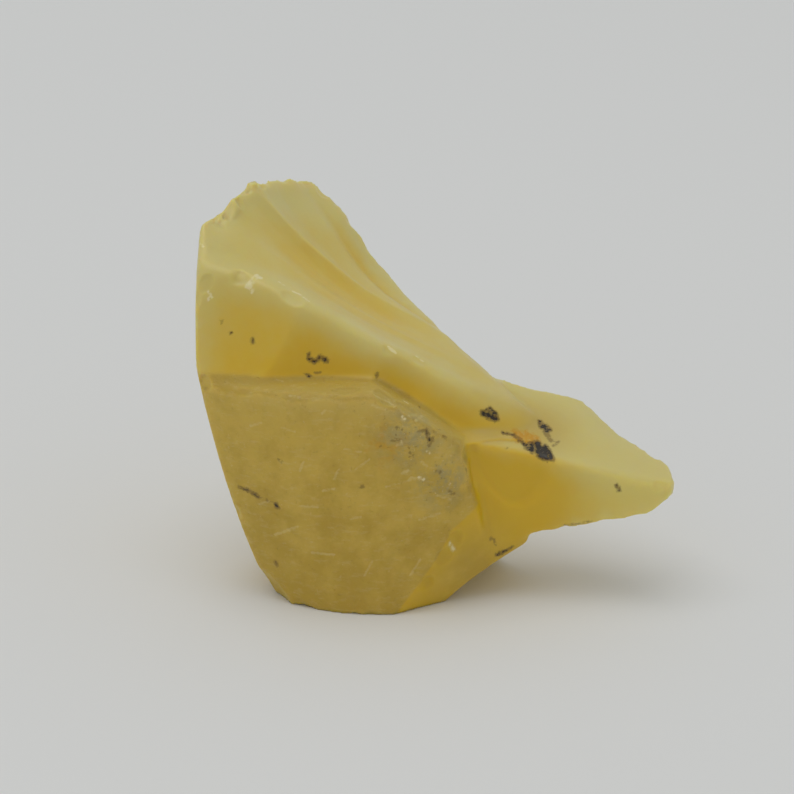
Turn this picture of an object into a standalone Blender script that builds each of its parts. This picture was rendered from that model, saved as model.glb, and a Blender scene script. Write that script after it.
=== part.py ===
"""A rough opal: one piece of yellow common opal, split from a larger nodule.

The stone is made the way it was broken. Three rough lumps (the body, the thick plate across
its lower front and the arm that reaches to the right) are each a block that loses everything
outside its fracture faces. The lumps are joined, further scars and small flakes are struck
from the joined stone, some arrises are worn round, and the foot is cut flat.

A fracture face is a shallow bowl through named points of the stone. Faces that share a point
meet there, so the arrises of the stone run between the named points.

Lengths are in millimetres and are turned into metres where a mesh is made. X runs to the
right, Y to the back and Z up, seen from the side with the plate.
"""

import math

import bmesh
import bpy
import numpy as np
from mathutils import Matrix

NAME = "rough_opal"
MM = 0.001

# Named points of the stone, in mm.
POINTS = {
    # the crest, from its left end to its right end at the back
    "crest_left": (-21.6, 0.5, 35.0),
    "crest_notch": (-19.0, 3.5, 35.7),
    "crest_shelf": (-17.6, 5.0, 36.4),
    "tooth": (-17.0, 5.5, 36.7),
    "crest_mid": (-15.1, 9.0, 35.9),
    "crest_high": (-13.6, 12.0, 35.4),
    "crest_right": (-12.3, 14.0, 34.7),
    # the far rim of the fan, from the crest down to the root of the arm
    "rim_corner": (-9.9, 14.0, 33.1),
    "rim_high": (-8.0, 13.1, 30.9),
    "rim_mid": (-6.5, 12.3, 28.5),
    "rim_slope": (-4.4, 11.7, 25.9),
    "rim_low": (-2.3, 10.6, 24.3),
    "rim_lower": (-0.6, 7.5, 23.1),
    "rim_turn": (1.2, 2.6, 23.2),
    "rim_near": (4.2, 1.2, 20.9),
    "rim_fall": (6.0, 0.8, 19.8),
    "rim_end": (8.0, 0.4, 18.7),
    # the sharp step that splits the fan in two
    "step_high": (-12.7, 5.5, 31.5),
    "step_mid": (-9.9, 5.5, 29.0),
    "step_slope": (-6.1, 5.0, 26.1),
    "step_low": (-3.3, 4.5, 24.6),
    "step_end": (-0.5, 3.0, 23.3),
    # the bottom of the flute between the step and the soft ridge
    "flute_top": (-20.3, -1.0, 34.0),
    "flute_high": (-12.6, 1.0, 30.2),
    "flute_mid": (-8.0, 1.0, 27.0),
    "flute_low": (-3.3, 1.0, 24.2),
    "flute_end": (0.4, -1.0, 22.4),
    # the soft ridge between the fan and the front
    "edge_left": (-22.2, -4.0, 31.9),
    "ridge_left": (-17.5, -6.1, 31.0),
    "ridge_mid": (-12.4, -6.6, 29.4),
    "ridge_dip": (-8.3, -6.6, 27.3),
    "ridge_low": (-4.2, -6.5, 25.0),
    "ridge_right": (0.4, -5.5, 22.2),
    "ridge_end": (5.9, -4.5, 18.9),
    # the foot of the upper front, behind the ledge
    "sill_left": (-21.9, -7.0, 22.6),
    "sill_quarter": (-17.0, -8.2, 22.5),
    "sill_mid": (-10.6, -7.8, 22.5),
    "sill_turn": (-5.3, -7.5, 22.1),
    "sill_fall": (-0.6, -6.8, 19.0),
    "sill_right": (2.7, -6.4, 16.3),
    "trough_side": (-4.8, -6.5, 23.2),
    "trough_rim": (-7.2, -8.1, 22.0),
    "trough_rim_high": (-6.8, -7.4, 26.0),
    "shelf_mid": (5.0, -6.0, 16.5),
    "shelf_brow": (6.4, -5.8, 16.5),
    "shelf_end": (8.7, -6.4, 15.7),
    "ridge_last": (9.6, -1.0, 18.0),
    # the plate
    "plate_left": (-21.4, -7.2, 21.6),
    "plate_top": (-12.4, -10.8, 22.3),
    "plate_crown": (-5.3, -10.8, 21.9),
    "plate_shoulder": (-0.6, -10.2, 18.8),
    "plate_notch": (2.6, -9.2, 16.4),
    "plate_side": (3.1, -9.2, 13.1),
    "plate_tab": (3.9, -9.1, 10.3),
    "plate_hip": (1.5, -10.0, 8.3),
    "plate_knee": (0.2, -10.4, 5.6),
    "plate_toe": (-3.5, -10.9, 0.6),
    "plate_heel": (-14.7, -7.8, 0.0),
    "plate_sole": (-11.5, -9.6, 0.0),
    "plate_flank": (-18.9, -7.2, 9.1),
    "plate_shin": (-17.3, -7.2, 4.5),
    # the arm
    "arm_corner": (2.7, -8.0, 15.8),
    "brow_root": (5.9, -8.2, 15.7),
    "brow_near": (8.6, -8.4, 15.1),
    "brow_mid": (11.9, -8.6, 14.5),
    "brow_far": (15.1, -8.8, 13.8),
    "brow_end": (18.8, -9.0, 12.9),
    "arm_tip": (22.3, -8.8, 12.7),
    "nape_rise": (6.8, 0.7, 19.1),
    "nape_dip": (9.0, 0.5, 17.9),
    "nape_root": (10.8, 0.5, 17.9),
    "nape_near": (13.7, 1.0, 16.8),
    "nape_mid": (15.3, -0.5, 16.0),
    "nape_far": (17.3, -0.8, 14.7),
    "nape_low": (18.9, -3.0, 14.1),
    "nape_end": (20.2, -5.2, 13.5),
    "tip_top": (22.0, -7.0, 12.8),
    "tip_low": (22.1, -9.0, 11.4),
    "chin_tip": (20.9, -9.0, 10.0),
    "chin_far": (19.5, -9.0, 9.1),
    "chin_mid": (15.4, -9.0, 8.6),
    "chin_near": (11.5, -8.4, 7.4),
    "chin_root": (8.3, -8.0, 6.8),
    "web_root": (6.0, -8.1, 7.2),
    "web_high": (7.8, -7.3, 5.2),
    "web_mid": (4.2, -7.5, 2.5),
    "web_low": (0.4, -8.4, 0.4),
}

# Points that only the hidden faces use.
HIDDEN = {
    "left_deep": (-21.5, 4.0, 20.0),
    "left_waist": (-22.1, -3.0, 26.0),
    "flank_back": (-18.4, 3.0, 9.0),
    "foot_left": (-15.3, -7.0, 0.0),
    "foot_left_back": (-14.4, 3.0, 0.0),
    "shin_back": (-16.6, 3.0, 4.5),
    "back_left_foot": (-15.0, 6.0, 0.0),
    "back_left_waist": (-18.5, 5.0, 18.0),
    "back_mid_foot": (-8.0, 9.0, 0.0),
    "back_waist": (-2.0, 8.5, 12.0),
    "back_right_foot": (1.0, 6.5, 0.0),
    "hollow_waist": (5.0, 3.0, 12.0),
    "hollow_foot": (5.5, 2.5, 0.0),
    "under_web": (6.0, -2.0, 2.6),
    "under_foot": (3.0, -5.0, 0.0),
    "under_back": (12.0, 1.0, 9.0),
    "under_tip": (18.5, -3.0, 10.4),
    "under_root": (7.5, 1.0, 7.5),
    "tip_back": (21.7, -6.5, 11.5),
    "chin_back": (20.2, -6.0, 10.2),
    "chin_back_far": (19.0, -6.0, 9.6),
    # scars on the back
    "back_crest_a": (-19.6, 1.6, 28.0),
    "back_crest_b": (-12.8, 12.6, 27.0),
    "back_mid_a": (-17.6, 4.4, 13.0),
    "back_mid_b": (-10.4, 10.4, 12.0),
    "back_mid_c": (-6.0, 9.8, 14.0),
    "back_low_a": (-14.0, 5.2, 1.0),
    "back_low_b": (-3.0, 7.0, 1.0),
    "heel_a": (-15.5, 2.0, 5.0),
    "heel_b": (-11.0, 5.6, 5.5),
    "heel_c": (-12.0, 2.0, 0.0),
    "flank_a": (3.4, 1.6, 15.0),
    "flank_b": (-1.4, 7.8, 16.5),
    "flank_c": (6.6, 0.4, 5.0),
    "flank_d": (1.2, 5.4, 5.0),
    # the blow that opened the fan, and where some of its ribs run
    "blow_fan": (9.5, -1.5, 18.0),
    "rib_low_a": (-21.5, -2.0, 33.4),
    "rib_low_b": (-18.0, 3.5, 35.2),
    # faces inside the stone, where one lump is buried in another
    "core_left": (-20.5, -5.35, 14.0),
    "core_left_high": (-20.5, -8.85, 28.0),
    "core_mid": (-9.0, -7.35, 10.0),
    "core_mid_high": (-9.0, -11.35, 26.0),
    "core_middle": (-9.0, -8.5, 10.0),
    "core_right_low": (4.0, -8.1, 2.0),
    "core_right": (4.0, -7.7, 14.0),
    "core_far": (9.0, -7.7, 10.0),
    "neck_top_front": (10.5, -4.6, 17.4),
    "neck_top_back": (10.5, 0.0, 17.4),
    "neck_foot_front": (8.0, -4.0, 2.0),
    "neck_foot_back": (8.0, 2.0, 2.0),
    "heart_left": (-20.0, -1.0, 20.0),
    "heart_right": (4.0, -1.0, 20.0),
    "heart_foot": (-6.0, -1.0, 0.0),
    "shank_top": (2.3, -5.0, 16.0),
    "shank_foot": (2.3, -5.0, 6.0),
    "shank_back": (2.3, 0.0, 12.0),
    "root_back_high": (4.0, 1.0, 19.5),
    "root_back_low": (4.0, 0.6, 8.0),
    "root_back_far": (10.0, 1.8, 9.0),
}

BLOCK = 64.0  # edge of the block each lump is cut from
REACH = 48.0  # half width of a fracture cutter
FACET = 0.8  # spacing of a fracture surface's points
RIM_LINES = 5  # widening lines of points outside the face itself
PULL = 0.1  # how strongly a face with many points keeps its given hollow
FIRM_PULL = 5.0  # the same for a small face
MANY = 8  # a face with this many points or more is drawn right through them
SPREAD = 0.45  # width of one point's pull on the surface, as a share of the face's radius
RIB_FULL = 16.0  # distance from the blow at which a rib has its full height
RIPPLE_FADE = 3.0  # number of rings over which ripples die out
GIVE = 0.06  # how much a surface may miss a single point, which keeps it smooth

BODY_HEART = (-9.0, 0.0, 14.0)
PLATE_HEART = (-8.0, -5.0, 10.0)
ARM_HEART = (11.0, -4.0, 12.0)

# Each fracture face: the points it runs through and its hollow in mm, bulging when negative.
BODY_FACES = {
    "fan_low": (
        ["crest_left", "crest_notch", "crest_shelf", "tooth", "step_high", "step_mid",
         "step_slope", "step_low", "step_end", "flute_top", "flute_high", "flute_mid",
         "flute_low", "flute_end", "edge_left", "ridge_left", "ridge_mid", "ridge_dip", "ridge_low",
         "ridge_right", "ridge_end", "rim_near", "rim_fall", "rim_end"], 0.5,
    ),
    "fan_high": (
        ["tooth", "crest_mid", "crest_high", "crest_right", "rim_corner", "rim_high",
         "rim_mid", "rim_slope", "rim_low", "rim_lower", "step_high", "step_mid",
         "step_slope", "step_low", "step_end"], 0.4,
    ),
    "front_left": (["edge_left", "ridge_mid", "sill_left", "sill_quarter"], 0.3),
    "front_mid": (["ridge_mid", "ridge_low", "sill_quarter", "sill_turn"], 0.6),
    "trough": (
        ["ridge_low", "ridge_right", "ridge_end", "ridge_last", "trough_side", "trough_rim",
         "trough_rim_high", "sill_fall", "sill_right", "shelf_mid", "shelf_brow"], 0.6,
    ),
    "left_high": (["crest_left", "edge_left", "left_waist", "sill_left", "left_deep"], -0.3),
    "back_left": (
        ["crest_left", "tooth", "crest_right", "back_left_waist", "back_left_foot"], 0.8,
    ),
    "back_right": (
        ["crest_right", "rim_corner", "rim_high", "rim_mid", "rim_slope", "rim_low",
         "back_mid_foot", "back_waist"], 0.8,
    ),
    "back_hollow": (
        ["rim_low", "rim_lower", "rim_turn", "rim_near", "rim_fall", "rim_end", "hollow_waist",
         "hollow_foot", "back_right_foot"], 1.2,
    ),
    "core_turn": (["core_left", "core_left_high", "core_mid", "core_mid_high"], 0.0),
    "front_core": (["core_middle", "core_right_low", "core_right", "core_far"], 0.0),
    "neck": (["neck_top_front", "neck_top_back", "neck_foot_front", "neck_foot_back"], 0.0),
}
PLATE_FACES = {
    "plate_face": (
        ["plate_left", "plate_top", "plate_crown", "plate_shoulder", "plate_notch", "plate_tab",
         "plate_hip", "plate_toe", "plate_sole", "plate_heel", "plate_flank", "plate_shin"], -0.6,
    ),
    "ledge": (
        ["plate_left", "plate_top", "plate_crown", "sill_left", "sill_mid", "sill_turn"], 0.0,
    ),
    "ledge_fall": (
        ["plate_crown", "plate_shoulder", "plate_notch", "sill_turn", "sill_fall",
         "sill_right"], 0.0,
    ),
    "plate_edge": (["plate_notch", "plate_side", "plate_tab", "sill_right"], 0.0),
    "heart_plane": (["heart_left", "heart_right", "heart_foot"], 0.0),
}
ARM_FACES = {
    "arm_top": (
        ["brow_root", "brow_near", "brow_mid", "brow_far", "brow_end", "shelf_mid",
         "shelf_brow", "shelf_end", "nape_rise", "nape_dip", "nape_root",
         "nape_near", "nape_mid", "nape_far", "nape_low",
         "nape_end", "tip_top"], 0.2,
    ),
    "arm_front": (
        ["arm_corner", "brow_root", "brow_near", "brow_mid", "brow_far", "brow_end",
         "chin_tip", "chin_far", "chin_mid", "chin_near", "chin_root"], 0.5,
    ),
    "arm_under": (
        ["chin_far", "chin_mid", "chin_near", "chin_root", "under_back", "under_tip",
         "under_root"], 0.4,
    ),
    "arm_back": (["nape_near", "nape_far", "nape_end", "under_tip", "under_back"], 0.2),
    "arm_end": (["arm_tip", "tip_top", "tip_low", "tip_back"], -0.1),
    "arm_chin": (["tip_low", "chin_tip", "chin_far", "chin_back", "chin_back_far"], -0.1),
    "shank_plane": (["shank_top", "shank_foot", "shank_back"], 0.0),
    "root_back": (["nape_root", "root_back_high", "root_back_low", "root_back_far"], 0.0),
}

# Scars on the hidden back, struck last.
BACK_SCARS = {
    "back_upper": (["back_crest_a", "back_crest_b", "back_mid_a", "back_mid_b"], 1.6),
    "back_lower": (["back_mid_a", "back_mid_c", "back_low_a", "back_low_b"], 1.4),
    "back_heel": (["heel_a", "heel_b", "heel_c"], 0.8),
    "back_flank": (["flank_a", "flank_b", "flank_c", "flank_d"], 0.9),
}

# Ribs that fan out from the point where a blow fell: the face, the point of the blow, and for
# each rib the point it runs towards, its height in mm and its half width in degrees.
RIBS = {
    "fan_low": ("blow_fan", [("crest_left", 0.16, 2.2), ("rib_low_a", -0.14, 2.0),
                             ("rib_low_b", 0.12, 1.8)]),
    "fan_high": ("blow_fan", [("crest_mid", -0.2, 2.4), ("rim_corner", -0.2, 2.0)]),
}

# Ripples round the point of a blow: the face, that point, their spacing and height in mm.
RIPPLES = {
    "back_upper": ("back_crest_b", 4.2, 0.22),
    "back_lower": ("back_mid_c", 3.6, 0.2),
    "back_right": ("back_waist", 4.5, 0.2),
    "back_left": ("crest_shelf", 5.5, 0.15),
    "back_flank": ("flank_a", 3.0, 0.15),
}

# Arrises worn round: the points along each and the width of the wear in mm.
WORN = [
    (["edge_left", "ridge_left", "ridge_mid", "ridge_dip", "ridge_low", "ridge_right"], 3.2),
    (["ridge_right", "ridge_end", "ridge_last"], 2.0),
    (["brow_near", "brow_mid", "brow_far", "brow_end", "arm_tip"], 2.2),
    (["arm_tip", "tip_low", "chin_tip"], 1.8),
    (["plate_left", "plate_top", "plate_crown", "plate_shoulder"], 1.0),
    (["plate_knee", "plate_toe"], 1.2),
    (["plate_shin", "plate_heel"], 2.0),
    (["web_root", "web_high"], 1.6),
    (["chin_root", "web_root", "plate_tab"], 1.6),
]
WEAR_STEPS = 14
EVEN_CELL = 0.36  # size of the rebuilt surface's faces
WEAR_FACTOR = 0.5

# Flakes struck from the crest and the edges: the place, the direction of the bite, the radius
# of the flake and its depth, all in mm.
FLAKES = [
    ((-15.9, 7.4, 36.4), (-0.3, 0.2, 1.0), 1.3, 0.55),
    ((-13.6, 12.6, 35.2), (0.1, 0.1, 1.0), 1.0, 0.15),
]

# Steps in the left part of the crest: the centre, the size and the tilt about Y in degrees.
STEPS = [
    ((-21.2, 2.0, 36.95), (4.4, 9.0, 4.0), -17.0),
    ((-18.6, 4.5, 38.1), (2.2, 6.0, 4.0), -30.0),
]

# Scars that run across the joined body and plate, before the arm is joined.
FIRST_SCARS = {
    "left_low": (
        ["plate_left", "plate_flank", "plate_shin", "left_deep", "flank_back", "shin_back"], -0.6,
    ),
    "left_foot": (["plate_shin", "foot_left", "foot_left_back", "shin_back"], 0.1),
    "web": (
        ["plate_tab", "plate_hip", "plate_knee", "plate_toe", "web_root", "web_high",
         "web_mid", "web_low"], 0.2,
    ),
    "web_under": (["web_high", "web_mid", "web_low", "under_web", "under_foot"], 0.3),
}

TRIANGLES = 9000
FLOOR_HEART = (0.0, 0.0, -BLOCK / 2)
SHARP = 35.0  # in degrees: arrises that turn more than this stay sharp in the shading

# The stone: waxy, honey yellow.
COLOUR = (0.36, 0.24, 0.05, 1.0)
ROUGHNESS = 0.38


def remove_everything():
    for thing in list(bpy.data.objects):
        bpy.data.objects.remove(thing)


def new_collection(name):
    collection = bpy.data.collections.new(name)
    bpy.context.scene.collection.children.link(collection)
    return collection


def point(name):
    place = POINTS[name] if name in POINTS else HIDDEN[name]
    return np.array(place)


def hide_as_cutter(thing, cutters):
    thing.hide_render = True
    thing.display_type = "WIRE"
    for collection in list(thing.users_collection):
        collection.objects.unlink(thing)
    cutters.objects.link(thing)


def plane_frame(places, heart):
    """Centre, two in-plane axes and the outward normal of the best plane through the points."""
    centre = places.mean(axis=0)
    axes = np.linalg.svd(places - centre)[2]
    normal = axes[2]
    if normal @ (centre - np.array(heart)) < 0:
        normal = -normal
    along = axes[0]
    return centre, along, np.cross(normal, along), normal


def bowl_terms(u, v):
    return np.stack([u * u, u * v, v * v], axis=-1)


def pulls(u, v, at_u, at_v, width):
    """How strongly each of the face's points pulls on the places (u, v)."""
    gap = np.hypot(np.subtract.outer(u, at_u), np.subtract.outer(v, at_v))
    return np.exp(-((gap / width) ** 2))


class Bowl:
    """A fracture surface: a plane with a hollow, drawn through its named points."""

    def __init__(self, face, corners, hollow, heart):
        self.face = face
        places = np.array([point(corner) for corner in corners])
        self.centre, self.along, self.across, self.normal = plane_frame(places, heart)
        offset = places - self.centre
        self.at_u = offset @ self.along
        self.at_v = offset @ self.across
        height = offset @ self.normal
        self.radius = np.hypot(self.at_u, self.at_v).max()
        self.width = SPREAD * self.radius
        natural = hollow / self.radius * np.array([1.0, 0.0, 1.0])
        plane = np.stack([np.ones(len(self.at_u)), self.at_u, self.at_v], axis=-1)
        many = len(height) >= MANY
        pull = (PULL if many else FIRM_PULL) * self.radius
        rows = np.hstack([plane, bowl_terms(self.at_u, self.at_v) / self.radius])
        keep = np.hstack([np.zeros((3, 3)), pull * np.eye(3)])
        target = np.concatenate([height, pull * natural])
        answer = np.linalg.lstsq(np.vstack([rows, keep]), target, rcond=None)[0]
        self.plane = answer[:3]
        self.bowl = answer[3:] / self.radius
        self.weights = np.zeros(len(height))
        if many:
            rest = height - self.heights(self.at_u, self.at_v)
            shares = pulls(self.at_u, self.at_v, self.at_u, self.at_v, self.width)
            self.weights = np.linalg.solve(shares + GIVE * np.eye(len(rest)), rest)

    def heights(self, u, v):
        """Height of the surface, which runs on straight outside the face."""
        distance = np.hypot(u, v)
        shrink = np.minimum(1.0, self.radius * 1.1 / np.maximum(distance, 1e-9))
        curved = bowl_terms(u * shrink, v * shrink) @ self.bowl
        fine = pulls(u, v, self.at_u, self.at_v, self.width) @ self.weights
        return self.plane[0] + self.plane[1] * u + self.plane[2] * v + curved / shrink + fine

    def flat_place(self, name):
        offset = point(name) - self.centre
        return offset @ self.along, offset @ self.across

    def ribs(self, u, v):
        """Ribs that run out straight from the point of the blow."""
        total = np.zeros_like(u)
        blow, lines = RIBS.get(self.face, (None, []))
        for target, height, width in lines:
            from_u, from_v = self.flat_place(blow)
            to_u, to_v = self.flat_place(target)
            bearing = math.atan2(to_v - from_v, to_u - from_u)
            turn = np.arctan2(v - from_v, u - from_u) - bearing
            turn = np.degrees(np.arctan2(np.sin(turn), np.cos(turn)))
            reach = np.hypot(u - from_u, v - from_v) / RIB_FULL
            total += height * np.minimum(reach, 1.0) * np.exp(-((turn / width) ** 2))
        return total

    def ripples(self, u, v):
        """Rings round the point of the blow, dying out away from it."""
        if self.face not in RIPPLES:
            return np.zeros_like(u)
        blow, spacing, height = RIPPLES[self.face]
        from_u, from_v = self.flat_place(blow)
        reach = np.hypot(u - from_u, v - from_v)
        fade = np.exp(-reach / (RIPPLE_FADE * spacing))
        return height * fade * np.cos(2 * math.pi * reach / spacing)

    def place(self, u, v):
        height = self.heights(u, v) + self.ribs(u, v) + self.ripples(u, v)
        flat = self.centre + np.multiply.outer(u, self.along)
        return flat + np.multiply.outer(v, self.across) + np.multiply.outer(height, self.normal)


def line_places(radius):
    """Places of the grid's lines: even over the face, then widening out to the reach."""
    inside = radius * 1.1
    count = int(math.ceil(2 * inside / FACET))
    even = np.linspace(-inside, inside, count + 1)
    outer = inside + (REACH - inside) * (np.arange(1, RIM_LINES + 1) / RIM_LINES) ** 1.5
    return np.concatenate([-outer[::-1], even, outer])


def fracture_cutter(name, face, corners, hollow, heart, cutters):
    """A slab whose near side is the fracture face and which reaches far outside the stone."""
    surface = Bowl(face, corners, hollow, heart)
    lines = line_places(surface.radius)
    last = len(lines) - 1
    bpy.ops.mesh.primitive_grid_add(x_subdivisions=last, y_subdivisions=last, size=1.0)
    cutter = bpy.context.object
    cutter.name = name
    mesh = cutter.data
    flat = np.array([vertex.co for vertex in mesh.vertices])
    steps = np.rint((flat[:, :2] + 0.5) * last).astype(int)
    places = surface.place(lines[steps[:, 0]], lines[steps[:, 1]]) * MM
    mesh.vertices.foreach_set("co", places.ravel())
    solid = bmesh.new()
    solid.from_mesh(mesh)
    grown = bmesh.ops.extrude_face_region(solid, geom=solid.faces[:])
    lifted = [item for item in grown["geom"] if isinstance(item, bmesh.types.BMVert)]
    bmesh.ops.translate(solid, verts=lifted, vec=surface.normal * REACH * MM)
    bmesh.ops.recalc_face_normals(solid, faces=solid.faces[:])
    bmesh.ops.triangulate(solid, faces=solid.faces[:])
    solid.to_mesh(mesh)
    solid.free()
    hide_as_cutter(cutter, cutters)
    return cutter


def boolean(thing, other, operation):
    modifier = thing.modifiers.new(f"{operation.lower()} {other.name}", "BOOLEAN")
    modifier.operation = operation
    modifier.object = other
    modifier.solver = "EXACT"


def settle(thing):
    """Bakes a thing's modifiers into its mesh."""
    graph = bpy.context.evaluated_depsgraph_get()
    baked = bpy.data.meshes.new_from_object(thing.evaluated_get(graph))
    thing.modifiers.clear()
    thing.data = baked


def block(name, heart):
    bpy.ops.mesh.primitive_cube_add(size=BLOCK * MM)
    thing = bpy.context.object
    thing.name = name
    for vertex in thing.data.vertices:
        vertex.co.x += heart[0] * MM
        vertex.co.y += heart[1] * MM
        vertex.co.z += heart[2] * MM
    return thing


def strike(thing, heart, faces, cutters):
    """Takes off everything outside each of the fracture faces."""
    for face, (corners, hollow) in faces.items():
        cutter = fracture_cutter(f"{thing.name}_{face}", face, corners, hollow, heart, cutters)
        boolean(thing, cutter, "DIFFERENCE")
    settle(thing)


def lump(name, heart, faces, cutters):
    thing = block(name, heart)
    strike(thing, heart, faces, cutters)
    return thing


def join(thing, other, cutters):
    hide_as_cutter(other, cutters)
    boolean(thing, other, "UNION")
    settle(thing)


def flake_cutter(name, place, direction, radius, depth, cutters):
    """A ball that bites into the stone at a place, to the given depth."""
    outward = np.array(direction) / np.linalg.norm(direction)
    centre = np.array(place) + outward * (radius - depth)
    bpy.ops.mesh.primitive_ico_sphere_add(subdivisions=2, radius=radius * MM)
    ball = bpy.context.object
    ball.name = name
    ball.location = centre * MM
    hide_as_cutter(ball, cutters)
    return ball


def step_cutter(name, place, size, tilt, cutters):
    """A tilted block whose corner cuts a step into the crest."""
    bpy.ops.mesh.primitive_cube_add(size=1.0)
    step = bpy.context.object
    step.name = name
    step.location = np.array(place) * MM
    step.scale = np.array(size) * MM
    step.rotation_euler.y = math.radians(tilt)
    hide_as_cutter(step, cutters)
    return step


def chip(thing, cutters):
    for index, flake in enumerate(FLAKES):
        boolean(thing, flake_cutter(f"flake_{index}", *flake, cutters), "DIFFERENCE")
    for index, step in enumerate(STEPS):
        boolean(thing, step_cutter(f"step_{index}", *step, cutters), "DIFFERENCE")
    settle(thing)


def distance_to_line(places, ends):
    """Distance from each place to the polyline through the named points."""
    best = np.full(len(places), np.inf)
    for start, end in zip(ends[:-1], ends[1:]):
        begin = point(start)
        run = point(end) - begin
        share = np.clip((places - begin) @ run / (run @ run), 0.0, 1.0)
        nearest = begin + np.multiply.outer(share, run)
        best = np.minimum(best, np.linalg.norm(places - nearest, axis=1))
    return best


def wear(thing):
    """Rounds the worn arrises: smoothing that is strong along them and fades out beside them."""
    places = np.array([vertex.co for vertex in thing.data.vertices]) / MM
    weight = np.zeros(len(places))
    for ends, width in WORN:
        near = np.clip(1.0 - distance_to_line(places, ends) / width, 0.0, 1.0)
        weight = np.maximum(weight, near)
    group = thing.vertex_groups.new(name="worn")
    for index in np.flatnonzero(weight):
        group.add([int(index)], float(weight[index]), "REPLACE")
    modifier = thing.modifiers.new("wear", "SMOOTH")
    modifier.vertex_group = group.name
    modifier.factor = WEAR_FACTOR
    modifier.iterations = WEAR_STEPS
    settle(thing)


def even_out(thing):
    """Rebuilds the surface with faces of one size, which wear evenly."""
    modifier = thing.modifiers.new("even out", "REMESH")
    modifier.mode = "VOXEL"
    modifier.voxel_size = EVEN_CELL * MM
    settle(thing)


def thin_out(thing):
    """Fewer triangles where the faces are smooth."""
    graph = bpy.context.evaluated_depsgraph_get()
    mesh = thing.evaluated_get(graph).data
    count = sum(len(polygon.vertices) - 2 for polygon in mesh.polygons)
    modifier = thing.modifiers.new("thin out", "DECIMATE")
    modifier.ratio = min(1.0, TRIANGLES / count)
    modifier.use_collapse_triangulate = True
    settle(thing)


def floor_cut(thing, cutters):
    """Takes off everything below the table, which leaves the flat foot."""
    floor = block("floor", FLOOR_HEART)
    hide_as_cutter(floor, cutters)
    boolean(thing, floor, "DIFFERENCE")
    settle(thing)


def stand(thing):
    """Moves the stone so that the middle of its foot box is the origin."""
    places = np.array([vertex.co for vertex in thing.data.vertices])
    low = places.min(axis=0)
    high = places.max(axis=0)
    middle = (low + high) / 2
    thing.data.transform(Matrix.Translation((-middle[0], -middle[1], -low[2])))


def finish(thing):
    """The waxy stone material, with the smooth faces shaded smooth."""
    material = bpy.data.materials.new("opal")
    material.use_nodes = True
    shader = material.node_tree.nodes["Principled BSDF"]
    shader.inputs["Base Color"].default_value = COLOUR
    shader.inputs["Roughness"].default_value = ROUGHNESS
    shader.inputs["Metallic"].default_value = 0.0
    thing.data.materials.clear()
    thing.data.materials.append(material)
    thing.data.shade_smooth()
    thing.data.set_sharp_from_angle(angle=math.radians(SHARP))


def main():
    remove_everything()
    parts = new_collection(NAME)
    cutters = new_collection("cutters")
    stone = lump("body", BODY_HEART, BODY_FACES, cutters)
    join(stone, lump("plate", PLATE_HEART, PLATE_FACES, cutters), cutters)
    strike(stone, BODY_HEART, FIRST_SCARS, cutters)
    strike(stone, BODY_HEART, BACK_SCARS, cutters)
    join(stone, lump("arm", ARM_HEART, ARM_FACES, cutters), cutters)
    chip(stone, cutters)
    even_out(stone)
    wear(stone)
    thin_out(stone)
    floor_cut(stone, cutters)
    stand(stone)
    finish(stone)
    stone.name = NAME
    for collection in list(stone.users_collection):
        collection.objects.unlink(stone)
    parts.objects.link(stone)


if __name__ == "__main__":
    main()
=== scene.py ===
# %% [markdown]
# # A rough opal
# The object is one piece of yellow common opal, about 44 mm long, split from a larger nodule.
# Opal has no cleavage: it breaks in shallow shell-like bowls, so the stone is a set of smooth
# bowls that meet in arrises, with one thick frosted plate across its lower front.
# The script takes the solid stone as its fixed frame, gives it a finer skin with the small
# relief of a broken surface, and then a waxy, faintly translucent material.

# %% Load the solid stone
import math

import bpy
import numpy as np
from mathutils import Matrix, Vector
from mathutils.bvhtree import BVHTree
from mathutils.kdtree import KDTree


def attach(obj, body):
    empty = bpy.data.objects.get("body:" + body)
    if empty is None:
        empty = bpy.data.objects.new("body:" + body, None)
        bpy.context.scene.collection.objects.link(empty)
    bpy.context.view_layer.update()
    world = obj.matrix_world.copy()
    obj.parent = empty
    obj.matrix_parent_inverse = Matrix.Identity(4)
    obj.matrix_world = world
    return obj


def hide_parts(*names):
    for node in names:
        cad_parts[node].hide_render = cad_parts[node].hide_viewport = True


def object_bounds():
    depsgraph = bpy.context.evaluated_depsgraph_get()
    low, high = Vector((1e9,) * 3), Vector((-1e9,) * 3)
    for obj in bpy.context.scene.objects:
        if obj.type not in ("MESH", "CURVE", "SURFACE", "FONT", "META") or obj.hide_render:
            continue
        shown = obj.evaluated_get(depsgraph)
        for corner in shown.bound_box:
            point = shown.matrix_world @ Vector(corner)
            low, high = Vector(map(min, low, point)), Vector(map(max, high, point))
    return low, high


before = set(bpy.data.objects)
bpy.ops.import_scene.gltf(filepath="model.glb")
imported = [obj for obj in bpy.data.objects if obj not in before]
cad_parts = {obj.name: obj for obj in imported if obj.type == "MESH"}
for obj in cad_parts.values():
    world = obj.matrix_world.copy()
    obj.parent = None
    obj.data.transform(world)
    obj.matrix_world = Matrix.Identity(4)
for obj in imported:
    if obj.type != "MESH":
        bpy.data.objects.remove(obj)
CAD_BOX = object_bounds()
MM = 0.001
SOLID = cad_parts["rough_opal"]
print("solid stone:", len(SOLID.data.polygons), "faces, box", CAD_BOX)

# %% [markdown]
# ## A small kit for node trees
# Geometry Nodes and materials are both trees of small sums. Written node by node they hide what
# they mean, so this kit lets a tree be written as a few readable lines. Every helper returns the
# socket that holds its result, and takes either a socket or a plain number as its input.

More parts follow.
